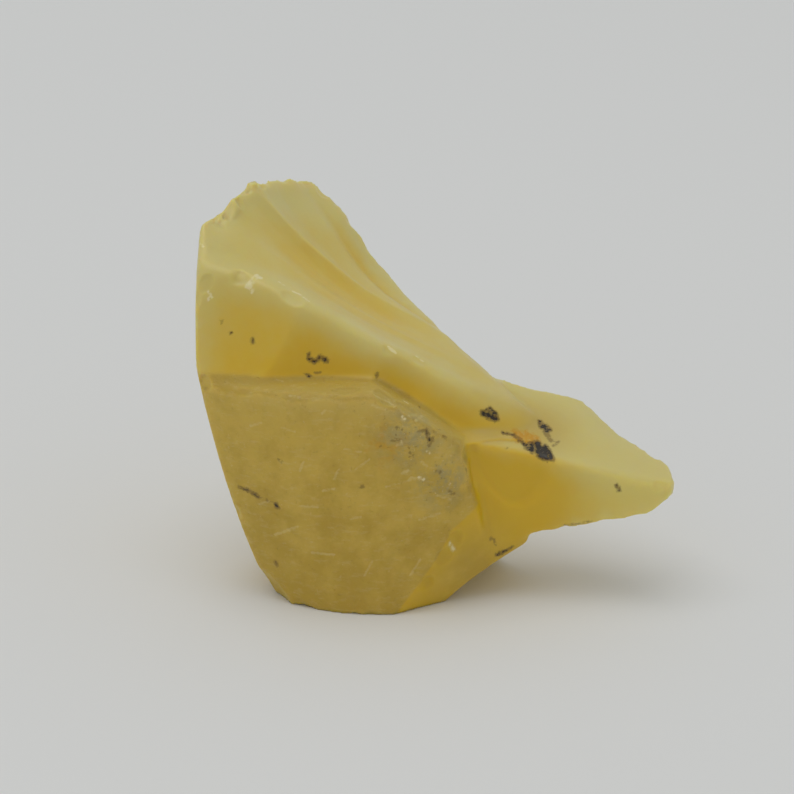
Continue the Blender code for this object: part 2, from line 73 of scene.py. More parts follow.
# %% The tree kit
class Tree:
    """A node tree that is being drawn."""

    def __init__(self, tree):
        self.tree = tree

    def add(self, kind, **settings):
        node = self.tree.nodes.new(kind)
        for name, value in settings.items():
            setattr(node, name, value)
        return node

    def feed(self, socket, value):
        if isinstance(value, bpy.types.NodeSocket):
            self.tree.links.new(value, socket)
        else:
            socket.default_value = value

    def feed_all(self, node, *values):
        """Feeds the first inputs of a node, in order."""
        for socket, value in zip(node.inputs, values):
            self.feed(socket, value)
        return node

    def sum(self, operation, *values):
        """A sum of one or more numbers: the operation is one of the Math node's."""
        node = self.add("ShaderNodeMath", operation=operation)
        return self.feed_all(node, *values).outputs[0]

    def total(self, first, *others):
        for value in others:
            first = self.sum("ADD", first, value)
        return first

    def times(self, first, *others):
        for value in others:
            first = self.sum("MULTIPLY", first, value)
        return first

    def vector(self, operation, *values):
        node = self.add("ShaderNodeVectorMath", operation=operation)
        self.feed_all(node, *values)
        scalar = operation in ("DOT_PRODUCT", "LENGTH", "DISTANCE")
        return node.outputs["Value" if scalar else "Vector"]

    def scaled(self, value, factor):
        node = self.add("ShaderNodeVectorMath", operation="SCALE")
        self.feed(node.inputs[0], value)
        self.feed(node.inputs["Scale"], factor)
        return node.outputs["Vector"]

    def parts(self, value):
        return self.feed_all(self.add("ShaderNodeSeparateXYZ"), value).outputs

    def joined(self, x, y, z):
        return self.feed_all(self.add("ShaderNodeCombineXYZ"), x, y, z).outputs[0]

    def noise(self, place, scale, detail, roughness, colour=False):
        """A cloud from 0 to 1, with `scale` clouds in each unit of `place`; as a colour, three."""
        node = self.add("ShaderNodeTexNoise")
        self.feed(node.inputs["Vector"], place)
        self.feed(node.inputs["Scale"], scale)
        self.feed(node.inputs["Detail"], detail)
        self.feed(node.inputs["Roughness"], roughness)
        return node.outputs["Color" if colour else 0]

    def ramp(self, value, low, high, start=0.0, end=1.0):
        """A soft step: `start` below `low`, `end` above `high`."""
        node = self.add("ShaderNodeMapRange", interpolation_type="SMOOTHSTEP")
        return self.feed_all(node, value, low, high, start, end).outputs[0]

    def blend(self, factor, first, second):
        """A mix of two colours."""
        node = self.add("ShaderNodeMix", data_type="RGBA")
        self.feed(node.inputs[0], factor)
        self.feed(node.inputs[6], first)
        self.feed(node.inputs[7], second)
        return node.outputs[2]


print("tree kit:", ", ".join(name for name in vars(Tree) if not name.startswith("_")))

# %% [markdown]
# ## The skin
# The solid has about eight thousand triangles, and its flat triangles would show as facets on
# glossy stone. Subdivision would round them but would also melt the arrises. A voxel remesh
# gives every part of the surface the same small faces, and a few steps of smoothing then take
# away the facets while the arrises only lose a fifth of a millimetre.

# %% Read, move and settle the points of a mesh
def skin_places(thing):
    """The places of the points in mm."""
    places = np.zeros(len(thing.data.vertices) * 3)
    thing.data.vertices.foreach_get("co", places)
    return places.reshape(-1, 3) / MM


def move_skin(thing, places):
    """Puts the points at new places in mm."""
    thing.data.vertices.foreach_set("co", (places * MM).ravel())
    thing.data.update()


def settled(thing):
    """The thing with its modifiers worked into a plain mesh."""
    graph = bpy.context.evaluated_depsgraph_get()
    mesh = bpy.data.meshes.new_from_object(thing.evaluated_get(graph))
    thing.modifiers.clear()
    thing.data = mesh
    return thing


print("points of the solid:", len(skin_places(SOLID)))

# %% [markdown]
# ### Bites
# Opal breaks in shells, and a ball cuts just that shape. A boolean for each of nearly two
# hundred balls would take minutes, so each point of the skin that is inside a ball is pushed
# back along the ball's radius onto its surface: the same cut, done as one sum.

# %% Bite with a ball
BITE_SLACK = 1.15  # a bite pushes a point by little more than its depth
BITE_EDGE = 1.1  # where a bite starts to fade, in widths of its rim
BITE_FADE = 0.3


def bite(places, place, facing, radius, depth):
    """Pushes the points inside a ball back onto its surface, near the place that is struck."""
    outward = np.array(facing) / np.linalg.norm(facing)
    away = places - (np.array(place) + outward * (radius - depth))
    gap = np.linalg.norm(away, axis=1)
    width = math.sqrt(2.0 * radius * depth)
    beyond = np.linalg.norm(places - np.array(place), axis=1) / width - BITE_EDGE
    near = np.clip(1.0 - beyond / BITE_FADE, 0.0, 1.0)
    push = np.clip(radius - gap, 0.0, depth * BITE_SLACK) * near
    places += away * (push / gap)[:, None]


print("a bite fades out at", round(BITE_EDGE + BITE_FADE, 1), "widths of its rim")

# %% Remesh, scoop and smooth the skin
SKIN_CELL = 0.25 * MM
SKIN_STEPS = 4
SAME_PLACE = 0.000001  # in metres
# Long shallow scoops: the place, the direction it faces, the ball's radius and the depth, in mm.
SCOOPS = [
    ((-19.4, -6.9, 28.6), (-0.12, -0.95, 0.25), 32.0, 0.55),
    ((-3.0, -7.7, 22.9), (0.26, -0.94, 0.16), 9.0, 0.36),
    ((-15.4, -8.9, 0.9), (-0.74, -0.46, -0.48), 11.0, 0.85),
    ((6.5, -8.6, 13.6), (0.20, -0.97, 0.16), 16.0, 0.30),
]


def fine_skin():
    """A fine closed copy of the solid stone, with the scoops in it."""
    mesh = SOLID.data.copy()
    skin = bpy.data.objects.new("opal_stone", mesh)
    bpy.context.scene.collection.objects.link(skin)
    weld = skin.modifiers.new("weld", "WELD")
    weld.merge_threshold = SAME_PLACE
    remesh = skin.modifiers.new("even faces", "REMESH")
    remesh.mode = "VOXEL"
    remesh.voxel_size = SKIN_CELL
    settled(skin)
    places = skin_places(skin)
    for scoop in SCOOPS:
        bite(places, *scoop)
    move_skin(skin, places)
    soften = skin.modifiers.new("soften", "SMOOTH")
    soften.iterations = SKIN_STEPS
    return settled(skin)


stone = fine_skin()
print("skin:", len(stone.data.vertices), "points")

# %% [markdown]
# ## The rolled ridge
# Between the fan and the upper front the stone isn't sharp: the face rolls over in a soft curve,
# worn by handling. More smoothing does that, but only here, so the smoothing is weighted by the
# distance from a line along the ridge and fades out three millimetres beside it.

# %% Roll the ridge over
RIDGE = [
    (-22.2, -5.3, 31.9), (-17.5, -7.4, 31.0), (-12.4, -7.9, 29.4), (-8.3, -7.9, 27.3),
    (-4.2, -7.8, 25.0), (0.4, -6.8, 22.2), (5.9, -5.8, 18.9),
]
RIDGE_WIDTH = 3.4
RIDGE_STEPS = 60
SHORTEST = 1e-9  # keeps a stroke without length from dividing by zero


def stroke_distance(places, start, end):
    """Distance of each place from the straight stroke between two places."""
    start = np.array(start)
    run = np.array(end) - start
    share = np.clip((places - start) @ run / max(run @ run, SHORTEST), 0.0, 1.0)
    return np.linalg.norm(places - start - share[:, None] * run, axis=1)


def roll_ridge(thing):
    """Smooths the ridge, and returns how many points that moves."""
    places = skin_places(thing)
    gap = np.full(len(places), RIDGE_WIDTH)
    for start, end in zip(RIDGE[:-1], RIDGE[1:]):
        gap = np.minimum(gap, stroke_distance(places, start, end))
    weights = 1.0 - gap / RIDGE_WIDTH
    near = np.flatnonzero(weights > 0.0)
    group = thing.vertex_groups.new(name="rolled")
    for index in near:
        group.add([int(index)], float(weights[index]), "REPLACE")
    roll = thing.modifiers.new("roll", "SMOOTH")
    roll.vertex_group = group.name
    roll.iterations = RIDGE_STEPS
    settled(thing)
    thing.vertex_groups.clear()
    return len(near)


print("rolled points:", roll_ridge(stone))

# %% [markdown]
# ## Chips and teeth
# Where a stone is knocked, a small shell flies off and leaves a shallow bite with a crisp edge.
# The chips that give the stone its face are listed one by one. The rest fall at random on the
# arrises, the places where the skin bulges most. The broken crest also stands up in small teeth
# and has lost small steps, too steep for a ball: there the points are lifted or lowered by a
# soft bump.

# %% Chips that are listed one by one
# Each chip: its place, the direction the bite faces, the ball's radius and the depth, in mm.
CHIPS = [
    # glinting flats on the rolled ridge
    ((-16.8, -6.3, 30.9), (-0.35, -0.62, 0.70), 5.0, 0.22),
    ((-20.7, -5.9, 30.2), (-0.50, -0.70, 0.45), 3.0, 0.14),
    ((-21.7, -6.1, 29.0), (-0.60, -0.75, 0.20), 2.5, 0.12),
    ((-12.7, -6.8, 29.6), (0.10, -0.60, 0.79), 4.0, 0.16),
    ((-11.3, -7.0, 29.0), (0.30, -0.60, 0.75), 2.4, 0.10),
    ((-3.7, -7.2, 24.5), (0.20, -0.75, 0.62), 3.0, 0.16),
    ((-1.5, -6.2, 23.3), (0.45, -0.45, 0.76), 2.6, 0.14),
    # the broken edge between the ledge and the plate
    ((-4.7, -10.6, 21.6), (0.50, -0.50, 0.70), 3.0, 0.22),
    ((-2.9, -10.3, 20.3), (0.60, -0.50, 0.62), 2.4, 0.20),
    ((-8.3, -10.6, 22.1), (0.05, -0.60, 0.80), 3.4, 0.16),
    ((-13.3, -10.9, 22.0), (-0.05, -0.60, 0.80), 3.0, 0.12),
    ((-17.6, -10.2, 21.9), (-0.20, -0.70, 0.68), 2.6, 0.14),
    # the ragged right edge of the plate
    ((2.9, -9.7, 15.4), (0.80, -0.60, 0.10), 1.6, 0.28),
    ((3.2, -10.4, 12.6), (0.75, -0.66, 0.10), 1.8, 0.30),
    ((1.5, -11.2, 7.3), (0.60, -0.78, -0.10), 1.8, 0.24),
    ((0.4, -11.5, 5.6), (0.60, -0.80, -0.10), 2.2, 0.24),
    ((-1.1, -11.6, 2.9), (0.60, -0.76, -0.20), 1.9, 0.20),
    ((1.7, -11.0, 6.2), (0.30, -0.94, 0.10), 1.4, 0.22),
    # the crest
    ((-19.6, 0.6, 35.5), (0.20, -0.30, 0.95), 1.1, 0.34),
    ((-20.6, -0.6, 35.0), (-0.20, -0.30, 0.95), 1.0, 0.22),
    ((-16.3, 5.0, 36.2), (0.45, 0.10, 0.88), 0.9, 0.24),
    ((-10.6, 12.0, 33.2), (0.60, -0.10, 0.80), 1.6, 0.20),
    ((-8.0, 11.2, 30.4), (0.80, -0.10, 0.60), 1.6, 0.18),
    ((-6.3, 10.4, 28.0), (0.80, 0.20, 0.55), 1.4, 0.18),
    # the left edge of the plate
    ((-20.9, -8.7, 21.8), (-0.80, -0.55, 0.10), 1.6, 0.22),
    ((-18.4, -8.6, 8.6), (-0.85, -0.50, 0.00), 1.8, 0.20),
]
print("placed chips:", len(CHIPS))

# %% Teeth of the crest
# Each tooth or lost step: its place, its reach and how high it stands, in mm.
TEETH = [
    ((-20.0, -0.2, 35.0), 0.9, -0.42), ((-19.3, 0.9, 35.3), 0.6, -0.38),
    ((-18.7, 1.9, 35.65), 0.45, 0.30), ((-17.95, 3.2, 36.1), 0.45, -0.34),
    ((-17.62, 3.75, 36.3), 0.35, -0.50), ((-17.3, 4.4, 36.45), 0.35, 0.40),
    ((-16.2, 6.0, 36.05), 0.8, 0.26), ((-15.2, 7.4, 35.6), 1.1, 0.26),
    ((-13.6, 9.6, 34.8), 1.6, 0.38), ((-12.0, 11.4, 34.0), 1.2, 0.20),
    ((-10.6, 11.6, 32.9), 1.6, 0.36), ((-8.9, 11.1, 31.1), 1.4, 0.30),
    ((-18.7, 2.2, 35.8), 0.9, 0.45), ((-17.9, 3.2, 36.1), 0.7, 0.30),
    ((-17.2, 4.55, 36.5), 0.4, 0.45), ((-16.9, 4.6, 36.4), 0.5, 0.30),
    ((-13.4, 11.0, 34.8), 1.2, 0.35),
]
print("teeth:", len(TEETH))

# %% Stray chips
SEED = 11
STRAY_CHIPS = 150
STRAY_RADIUS = (0.7, 3.2)
STRAY_DEPTH = (0.04, 0.15)
STRAY_TILT = 0.3  # how far a stray chip leans away from the skin's own direction
ARRIS_SHARE = 0.04  # the most bulging share of the skin counts as arris
BULGE_STEPS = 10


def skin_normals(thing):
    normals = np.zeros(len(thing.data.vertices) * 3)
    thing.data.vertex_normals.foreach_get("vector", normals)
    return normals.reshape(-1, 3)


def bulge(thing, places, normals):
    """How far each point of the skin stands out from its wider neighbourhood, in mm."""
    ends = np.zeros(len(thing.data.edges) * 2, np.int32)
    thing.data.edges.foreach_get("vertices", ends)
    first, second = ends.reshape(-1, 2).T
    here = np.concatenate([first, second])
    there = np.concatenate([second, first])
    count = np.bincount(here, minlength=len(places))
    smooth = places.copy()
    for _ in range(BULGE_STEPS):
        sums = [np.bincount(here, smooth[there, axis], len(places)) for axis in range(3)]
        smooth = np.stack(sums, axis=1) / count[:, None]
    return ((places - smooth) * normals).sum(axis=1)


def between(limits, share):
    return limits[0] + (limits[1] - limits[0]) * share


def stray_chips(thing, places):
    """Random small chips on the arrises; most are tiny."""
    normals = skin_normals(thing)
    out = bulge(thing, places, normals)
    arris = np.flatnonzero(out > np.quantile(out, 1.0 - ARRIS_SHARE))
    chance = np.random.default_rng(SEED)
    chips = []
    for index in chance.choice(arris, STRAY_CHIPS, replace=False):
        facing = normals[index] + chance.normal(0.0, STRAY_TILT, 3)
        size = chance.random() ** 2
        radius = between(STRAY_RADIUS, size)
        depth = between(STRAY_DEPTH, size)
        chips.append((places[index].copy(), facing, radius, depth))
    return chips


print("stray chips:", STRAY_CHIPS, "of up to", STRAY_DEPTH[1], "mm depth")

# %% Strike the stone
def strike(thing):
    """Raises the teeth and strikes off the chips, and returns the farthest move in mm."""
    before = skin_places(thing)
    places = before.copy()
    for place, reach, height in TEETH:
        gap = np.linalg.norm(places - np.array(place), axis=1)
        places[:, 2] += height * np.exp(-((gap / reach) ** 2))
    for chip in CHIPS + stray_chips(thing, places):
        bite(places, *chip)
    move_skin(thing, places)
    return np.linalg.norm(places - before, axis=1).max()


print("farthest move of a point:", round(float(strike(stone)), 2), "mm")

# %% [markdown]
# ## Where the plate is
# The plate is frosted and the rest of the stone is glossy, so the material has to know where the
# plate's face ends. The edge is a line of named corners seen from the front, and each point of
# the skin stores how far inside that outline it lies, as an attribute the material reads.
# On the left flank the frost has no edge to stop at: it runs out along a wandering line.

# %% Measure from an outline and store what was measured
SQUARE = [(-1.0, -1.0), (1.0, -1.0), (1.0, 1.0), (-1.0, 1.0)]


def outline_depth(places, outline):
    """Distance of each (x, z) place from the outline, positive inside it."""
    depth = np.full(len(places), np.inf)
    inside = np.zeros(len(places), bool)
    corners = np.array(outline)
    for start, end in zip(corners, np.roll(corners, -1, axis=0)):
        depth = np.minimum(depth, stroke_distance(places, start, end))
        run = end - start
        crosses = (start[1] > places[:, 1]) != (end[1] > places[:, 1])
        height = np.where(run[1] == 0, 1.0, run[1])
        at = start[0] + (places[:, 1] - start[1]) / height * run[0]
        inside ^= crosses & (places[:, 0] < at)
    return np.where(inside, depth, -depth)


def store(thing, name, values):
    """Stores a value for each point of the skin."""
    layer = thing.data.attributes.new(name, "FLOAT", "POINT")
    layer.data.foreach_set("value", np.asarray(values, np.float32))


middle = np.zeros((1, 2))
print("depth at the middle of a square 2 wide:", float(outline_depth(middle, SQUARE)[0]))

# %% Store the plate on the skin
PLATE_OUTLINE = [
    (-24.0, 22.7), (-17.0, 22.7), (-10.6, 22.6), (-5.3, 22.3), (-0.6, 19.2), (2.6, 16.5),
    (3.1, 13.1), (3.9, 10.3), (1.5, 8.3), (0.2, 5.6), (-3.5, 0.4), (-3.5, -2.0), (-24.0, -2.0),
]
PLATE_SOFT = 0.25
PLATE_BACK = -5.8  # y of the line on the left flank
PLATE_FADE = 0.9
# The line's waves: how far each goes, its turn with each mm of height and its start.
PLATE_WANDER = ((0.45, 0.55, 1.0), (0.25, 1.3, 4.0), (0.10, 3.1, 2.0))


def plate_share(places):
    """1 on the plate's frosted face, 0 elsewhere."""
    inside = outline_depth(places[:, [0, 2]], PLATE_OUTLINE) / PLATE_SOFT + 0.5
    back = PLATE_BACK + sum(
        far * np.sin(rate * places[:, 2] + start) for far, rate, start in PLATE_WANDER
    )
    in_front = (back - places[:, 1]) / PLATE_FADE + 0.5
    return np.clip(inside, 0.0, 1.0) * np.clip(in_front, 0.0, 1.0)


places = skin_places(stone)
plate = plate_share(places)
store(stone, "plate", plate)
print("plate covers", round(float(plate.mean()), 3), "of the skin")

# %% [markdown]
# ## Specks and scratches
# Black mineral specks sit in the surface, and the frosted plate is scratched. Drawn node by node
# in the material, more than a hundred marks would make every ray slow. A distance is smooth even
# where a mark is small, so each point of the skin stores how far it is from the edge of the
# nearest mark of each kind, and the material turns that distance into a crisp or a ragged edge.
# Each mark is a short stroke: its two ends and its half width, in mm.

# %% Dark mineral specks
SPECKS = [
    ((-11.6, -8.4, 24.2), (-11.0, -8.4, 23.8), 0.15),
    ((-11.7, -8.3, 24.5), (-11.6, -8.4, 24.1), 0.08),
    ((-10.6, -8.3, 24.4), (-10.1, -8.3, 23.9), 0.14),
    ((-10.1, -8.3, 24.0), (-9.8, -8.3, 23.8), 0.08),
    ((-11.0, -8.4, 24.0), (-10.6, -8.3, 24.1), 0.07),
    ((-11.8, -8.7, 22.8), (-11.6, -8.8, 22.5), 0.09),
    ((-5.5, -8.4, 22.6), (-5.5, -8.5, 22.5), 0.08),
    ((-16.9, -8.1, 25.8), (-16.9, -8.1, 25.7), 0.11),
    ((-18.9, -7.5, 26.3), (-18.9, -7.5, 26.2), 0.08),
    ((4.4, -6.8, 18.0), (5.5, -6.7, 17.6), 0.26),
    ((5.0, -6.4, 18.5), (5.3, -6.6, 18.0), 0.14),
    ((4.7, -6.6, 18.4), (4.9, -6.7, 18.1), 0.08),
    ((5.5, -6.5, 18.0), (5.7, -6.7, 17.5), 0.13),
    ((9.8, -5.0, 16.5), (10.0, -5.6, 16.2), 0.22),
    ((10.2, -5.3, 16.3), (10.3, -6.0, 16.0), 0.23),
    ((10.5, -5.5, 16.2), (10.6, -5.8, 16.0), 0.16),
    ((6.2, -7.3, 16.4), (7.0, -7.4, 16.2), 0.08),
    ((7.0, -7.4, 16.2), (7.9, -8.0, 15.8), 0.13),
    ((7.9, -8.0, 15.8), (8.5, -8.6, 15.5), 0.18),
    ((8.3, -8.3, 15.6), (8.5, -8.7, 15.4), 0.17),
    ((8.8, -8.1, 15.6), (8.9, -9.0, 15.3), 0.26),
    ((9.4, -7.8, 15.5), (9.6, -9.3, 15.0), 0.34),
    ((10.0, -8.1, 15.4), (10.1, -9.4, 14.8), 0.34),
    ((10.5, -8.6, 15.1), (10.6, -9.5, 14.7), 0.23),
    ((16.6, -10.2, 12.3), (16.8, -10.3, 11.9), 0.12),
    ((-18.3, -9.2, 11.7), (-17.5, -9.6, 11.6), 0.08),
    ((-17.5, -9.6, 11.6), (-16.4, -10.1, 11.2), 0.14),
    ((-14.8, -10.8, 10.7), (-14.6, -10.8, 10.5), 0.14),
    ((-14.9, -9.8, 4.3), (-14.9, -9.8, 4.0), 0.13),
    ((-0.9, -11.5, 18.3), (-0.6, -11.5, 17.4), 0.14),
    ((5.7, -9.0, 4.8), (6.6, -8.8, 5.1), 0.16),
    ((6.6, -8.8, 5.1), (7.2, -8.8, 5.4), 0.10),
]
print("dark specks:", len(SPECKS))

# %% Fainter brown specks
FAINT = [
    ((-11.1, -8.6, 23.0), (-10.7, -8.6, 22.9), 0.08),
    ((-19.7, -7.0, 27.3), (-19.7, -7.1, 27.2), 0.08),
    ((-16.2, -10.2, 11.0), (-14.8, -10.7, 10.7), 0.05),
    ((-6.9, -12.4, 13.2), (-6.6, -12.4, 13.2), 0.11),
    ((-14.4, -11.3, 15.3), (-14.2, -11.3, 15.1), 0.09),
    ((-5.2, -12.4, 17.1), (-5.1, -12.3, 17.1), 0.08),
    ((-1.5, -8.6, 19.5), (-1.5, -8.8, 19.4), 0.08),
    ((-1.7, -11.8, 18.3), (-1.0, -11.5, 18.3), 0.15),
    ((-0.4, -11.5, 17.7), (-0.6, -11.6, 17.0), 0.15),
    ((0.7, -11.1, 17.7), (1.0, -10.9, 17.5), 0.09),
    ((-0.9, -11.6, 18.0), (0.3, -10.5, 18.1), 0.08),
    ((2.9, -10.5, 14.0), (3.0, -10.5, 12.9), 0.08),
    ((6.5, -9.0, 15.7), (6.6, -9.1, 15.7), 0.09),
    ((12.0, -9.8, 8.0), (14.3, -10.1, 8.6), 0.10),
    ((5.0, -9.3, 6.7), (5.2, -9.3, 6.4), 0.08),
    ((5.4, -9.2, 6.3), (5.7, -9.2, 5.9), 0.08),
    ((10.1, -6.2, 16.0), (10.7, -7.1, 15.6), 0.24),
    ((10.8, -7.9, 15.3), (11.3, -7.2, 15.4), 0.11),
    ((-2.4, -12.0, 16.4), (-2.0, -12.0, 16.1), 0.10),
    ((-4.1, -12.2, 17.6), (-3.5, -12.1, 17.7), 0.09),
    ((-0.0, -11.5, 14.4), (0.3, -11.4, 14.0), 0.11),
    ((1.2, -11.2, 12.1), (1.5, -11.1, 11.9), 0.10),
    ((-3.5, -12.1, 18.8), (-3.1, -12.0, 18.6), 0.09),
]
print("faint specks:", len(FAINT))

# %% Pale scratches and scuffs
SCRATCHES = [
    ((-14.8, -10.3, 7.3), (-12.7, -11.3, 8.7), 0.09),
    ((-11.5, -11.5, 6.1), (-9.4, -12.0, 6.2), 0.08),
    ((-10.4, -12.1, 12.7), (-9.3, -12.3, 12.8), 0.07),
    ((-2.3, -12.1, 14.0), (-1.1, -11.8, 13.6), 0.08),
    ((1.5, -11.2, 6.7), (1.7, -11.0, 6.1), 0.21),
    ((-4.6, -12.4, 13.1), (-1.5, -11.9, 13.8), 0.04),
    ((-7.4, -12.4, 14.8), (-6.1, -12.4, 15.8), 0.05),
    ((-8.3, -12.4, 16.8), (-6.8, -12.4, 16.6), 0.05),
    ((-9.3, -12.3, 13.8), (-9.0, -12.4, 14.8), 0.05),
    ((-16.3, -10.1, 10.3), (-15.3, -10.6, 11.0), 0.04),
    ((-12.5, -11.8, 14.5), (-12.2, -11.9, 15.4), 0.05),
    ((-5.6, -11.7, 22.0), (-4.2, -11.3, 21.3), 0.08),
    ((-4.1, -11.3, 21.1), (-3.1, -11.3, 20.5), 0.08),
    ((-1.8, -11.5, 19.4), (-1.3, -10.2, 19.2), 0.08),
    ((-3.1, -12.2, 14.5), (-2.7, -12.1, 14.7), 0.11),
    ((-3.0, -11.9, 19.7), (-2.8, -11.9, 19.6), 0.11),
    ((-10.3, -12.3, 20.5), (-10.1, -12.3, 20.5), 0.09),
    ((-13.3, -11.7, 21.9), (-12.4, -11.9, 21.9), 0.06),
    ((-5.9, -12.2, 21.1), (-4.6, -12.1, 20.7), 0.07),
    ((-3.7, -12.2, 17.1), (-3.1, -12.1, 17.4), 0.08),
    ((-1.4, -11.8, 15.4), (-0.8, -11.7, 14.9), 0.08),
    ((0.1, -11.6, 11.8), (1.5, -11.2, 11.4), 0.07),
    ((-7.8, -12.3, 9.8), (-6.8, -12.4, 10.1), 0.05),
    ((-12.5, -11.5, 10.9), (-10.9, -11.9, 10.9), 0.04),
    ((-1.5, -12.0, 9.6), (0.4, -11.5, 10.2), 0.05),
    ((-2.4, -12.2, 4.1), (-1.5, -12.0, 5.6), 0.06),
    ((-6.6, -12.3, 4.0), (-5.9, -12.4, 5.7), 0.04),
    ((-17.0, -10.5, 18.5), (-15.9, -11.0, 18.9), 0.05),
    ((-14.0, -11.6, 18.6), (-12.9, -11.9, 18.4), 0.05),
]
print("scratches:", len(SCRATCHES))

# %% Painted glints: bright splintered flats where they catch the light
GLINTS = [
    ((-16.4, -5.4, 31.2), (-17.5, -6.4, 30.5), 0.16),
    ((-16.1, -5.5, 31.1), (-17.2, -6.6, 30.3), 0.16),
    ((-15.9, -5.5, 31.0), (-16.9, -6.7, 30.0), 0.12),
    ((-20.8, -6.0, 29.9), (-20.5, -6.2, 29.3), 0.10),
    ((-14.5, -5.4, 30.6), (-13.8, -5.6, 30.3), 0.05),
    ((-13.1, -6.2, 29.9), (-12.5, -6.1, 29.6), 0.08),
    ((-12.1, -6.4, 29.4), (-11.6, -6.7, 29.1), 0.08),
    ((-4.3, -7.1, 25.0), (-3.7, -7.2, 24.5), 0.08),
    ((-4.1, -7.3, 24.8), (-3.6, -7.4, 24.3), 0.08),
    ((-1.8, -5.9, 23.4), (-1.1, -6.0, 23.1), 0.08),
    ((1.5, -11.2, 6.7), (1.7, -11.0, 6.1), 0.09),
    ((-21.8, -2.7, 33.2), (-21.4, -3.1, 33.2), 0.06),
    ((-20.9, -6.2, 29.2), (-20.8, -6.3, 29.1), 0.06),
    ((-2.9, -9.2, 20.4), (-2.6, -9.2, 20.2), 0.06),
    ((-3.0, -11.9, 19.8), (-2.8, -11.9, 19.6), 0.08),
    ((-1.7, -11.9, 13.9), (-1.1, -11.8, 13.6), 0.08),
    ((-0.9, -11.7, 16.3), (-0.6, -11.6, 16.1), 0.06),
]
print("glints:", len(GLINTS))

# %% Orange iron stains beside the specks
IRON = [
    ((7.3, -7.1, 16.3), (7.4, -7.7, 16.0), 0.08),
    ((7.8, -7.1, 16.1), (7.9, -7.9, 15.9), 0.11),
    ((8.3, -6.9, 16.1), (8.4, -7.8, 15.8), 0.15),
    ((8.8, -7.1, 15.9), (8.9, -7.8, 15.7), 0.15),
    ((9.3, -7.2, 15.8), (9.3, -7.7, 15.6), 0.09),
]
print("iron stains:", len(IRON))

# %% Stray specks on the back
STRAY_SPECKS = 22
STRAY_WIDTH = (0.08, 0.26)  # half widths of the stray specks, in mm
STRAY_RUN = 0.5  # how far their strokes run, in mm
BACK_FACING = 0.35  # the normal's y from which a face counts as the back
BACK_HEIGHT = (1.0, 30.0)


def stray_specks(places, normals):
    """Random small specks on the back of the stone."""
    chance = np.random.default_rng(SEED)
    low, high = BACK_HEIGHT
    height = places[:, 2]
    back = np.flatnonzero((normals[:, 1] > BACK_FACING) & (height > low) & (height < high))
    specks = []
    for index in chance.choice(back, STRAY_SPECKS, replace=False):
        end = places[index] + chance.normal(0.0, STRAY_RUN, 3)
        specks.append((places[index], end, chance.uniform(*STRAY_WIDTH)))
    return specks


print("stray specks:", STRAY_SPECKS)

# %% Store the marks on the skin
FAR = 9.0  # stored where no mark is near, in mm


def finder_of(places):
    """A finder of the nearest of many places."""
    finder = KDTree(len(places))
    for index, place in enumerate(places):
        finder.insert(place, index)
    finder.balance()
    return finder


def marks_distance(places, finder, marks):
    """Distance of each place in mm from the edge of the nearest mark, negative inside it."""
    best = np.full(len(places), FAR)
    for start, end, half_width in marks:
        start, end = (places[finder.find(corner)[1]] for corner in (start, end))
        best = np.minimum(best, stroke_distance(places, start, end) - half_width)
    return best


def store_marks(thing):
    places = skin_places(thing)
    finder = finder_of(places)
    kinds = {
        "speck": SPECKS + stray_specks(places, skin_normals(thing)),
        "faint": FAINT,
        "scratch": SCRATCHES,
        "glint": GLINTS,
        "iron": IRON,
    }
    for name, marks in kinds.items():
        gap = marks_distance(places, finder, marks)
        store(thing, name, gap)
        print(name, "marks:", len(marks), "with", int((gap < 0.0).sum()), "points in them")


store_marks(stone)

# %% [markdown]
# ## Relief of the fracture faces
# The fan above the plate opened from one blow at its right end. Every line in it runs out from
# that point: a sharp arris with a flute below it, a second flute near the far rim, and fine
# hackle between them. A rule like this suits Geometry Nodes: the tree works out each point's
# bearing and reach from the blow, and lifts or lowers the point by a profile of the two. It
# also keeps how deep in a flute each point lies, so that the material can paint shade into the
# flutes.

# %% Where the fan is
# A step is soft: below its first number there is nothing, above its second all of it.
BLOW = (9.5, -2.9, 18.0)
FAN_FACING = (0.57, -0.12, 0.81)
FAN_MATCH = (0.72, 0.92)  # how well a face has to match that direction
FAN_SLOPE = 0.55  # the fan's lower rim falls by this with each mm to the right
FAN_HEIGHT = (20.0, 22.0)  # the height of that rim at the middle of the stone, in mm
FAN_FRONT = (-8.2, -6.6)  # the y where the fan starts, behind the rolled ridge


def blow_compass(tree, place):
    """Bearing in degrees and reach in mm of a place, seen from the blow."""
    x, y, _ = tree.parts(tree.vector("SUBTRACT", place, BLOW))
    turn = tree.sum("DEGREES", tree.sum("ARCTAN2", y, x))
    turn = tree.sum("FLOORED_MODULO", turn, 360.0)
    return turn, tree.vector("LENGTH", tree.joined(x, y, 0.0))


def fan_mask(tree, place, facing):
    """1 on the fan, 0 elsewhere."""
    match = tree.ramp(tree.vector("DOT_PRODUCT", facing, FAN_FACING), *FAN_MATCH)
    x, y, z = tree.parts(place)
    high = tree.ramp(tree.total(z, tree.times(x, FAN_SLOPE)), *FAN_HEIGHT)
    behind = tree.ramp(y, *FAN_FRONT)
    return tree.times(high, behind, match)


print("the fan opens from", BLOW)

# %% The profile of the fan and the grain of the plate
# The sharp arris curves: its bearing in degrees at one reach in mm, and its turn with each mm.
ARRIS_BEARING = 155.0
ARRIS_REACH = 14.0
ARRIS_TURN = 0.78
LIP_RISE = 2.4  # above the arris the lip falls to a third within this, in mm
LIP_FALL = -1.4  # and below it at this rate, for each mm
RIM_BEARING = 146.6  # the flute near the far rim runs straight out, at this bearing in degrees
RIM_SPREAD = 2.1  # and is this wide, in degrees
STREAKS = (0.45, 0.1)  # hackle runs out from the blow: clouds in each degree and in each mm
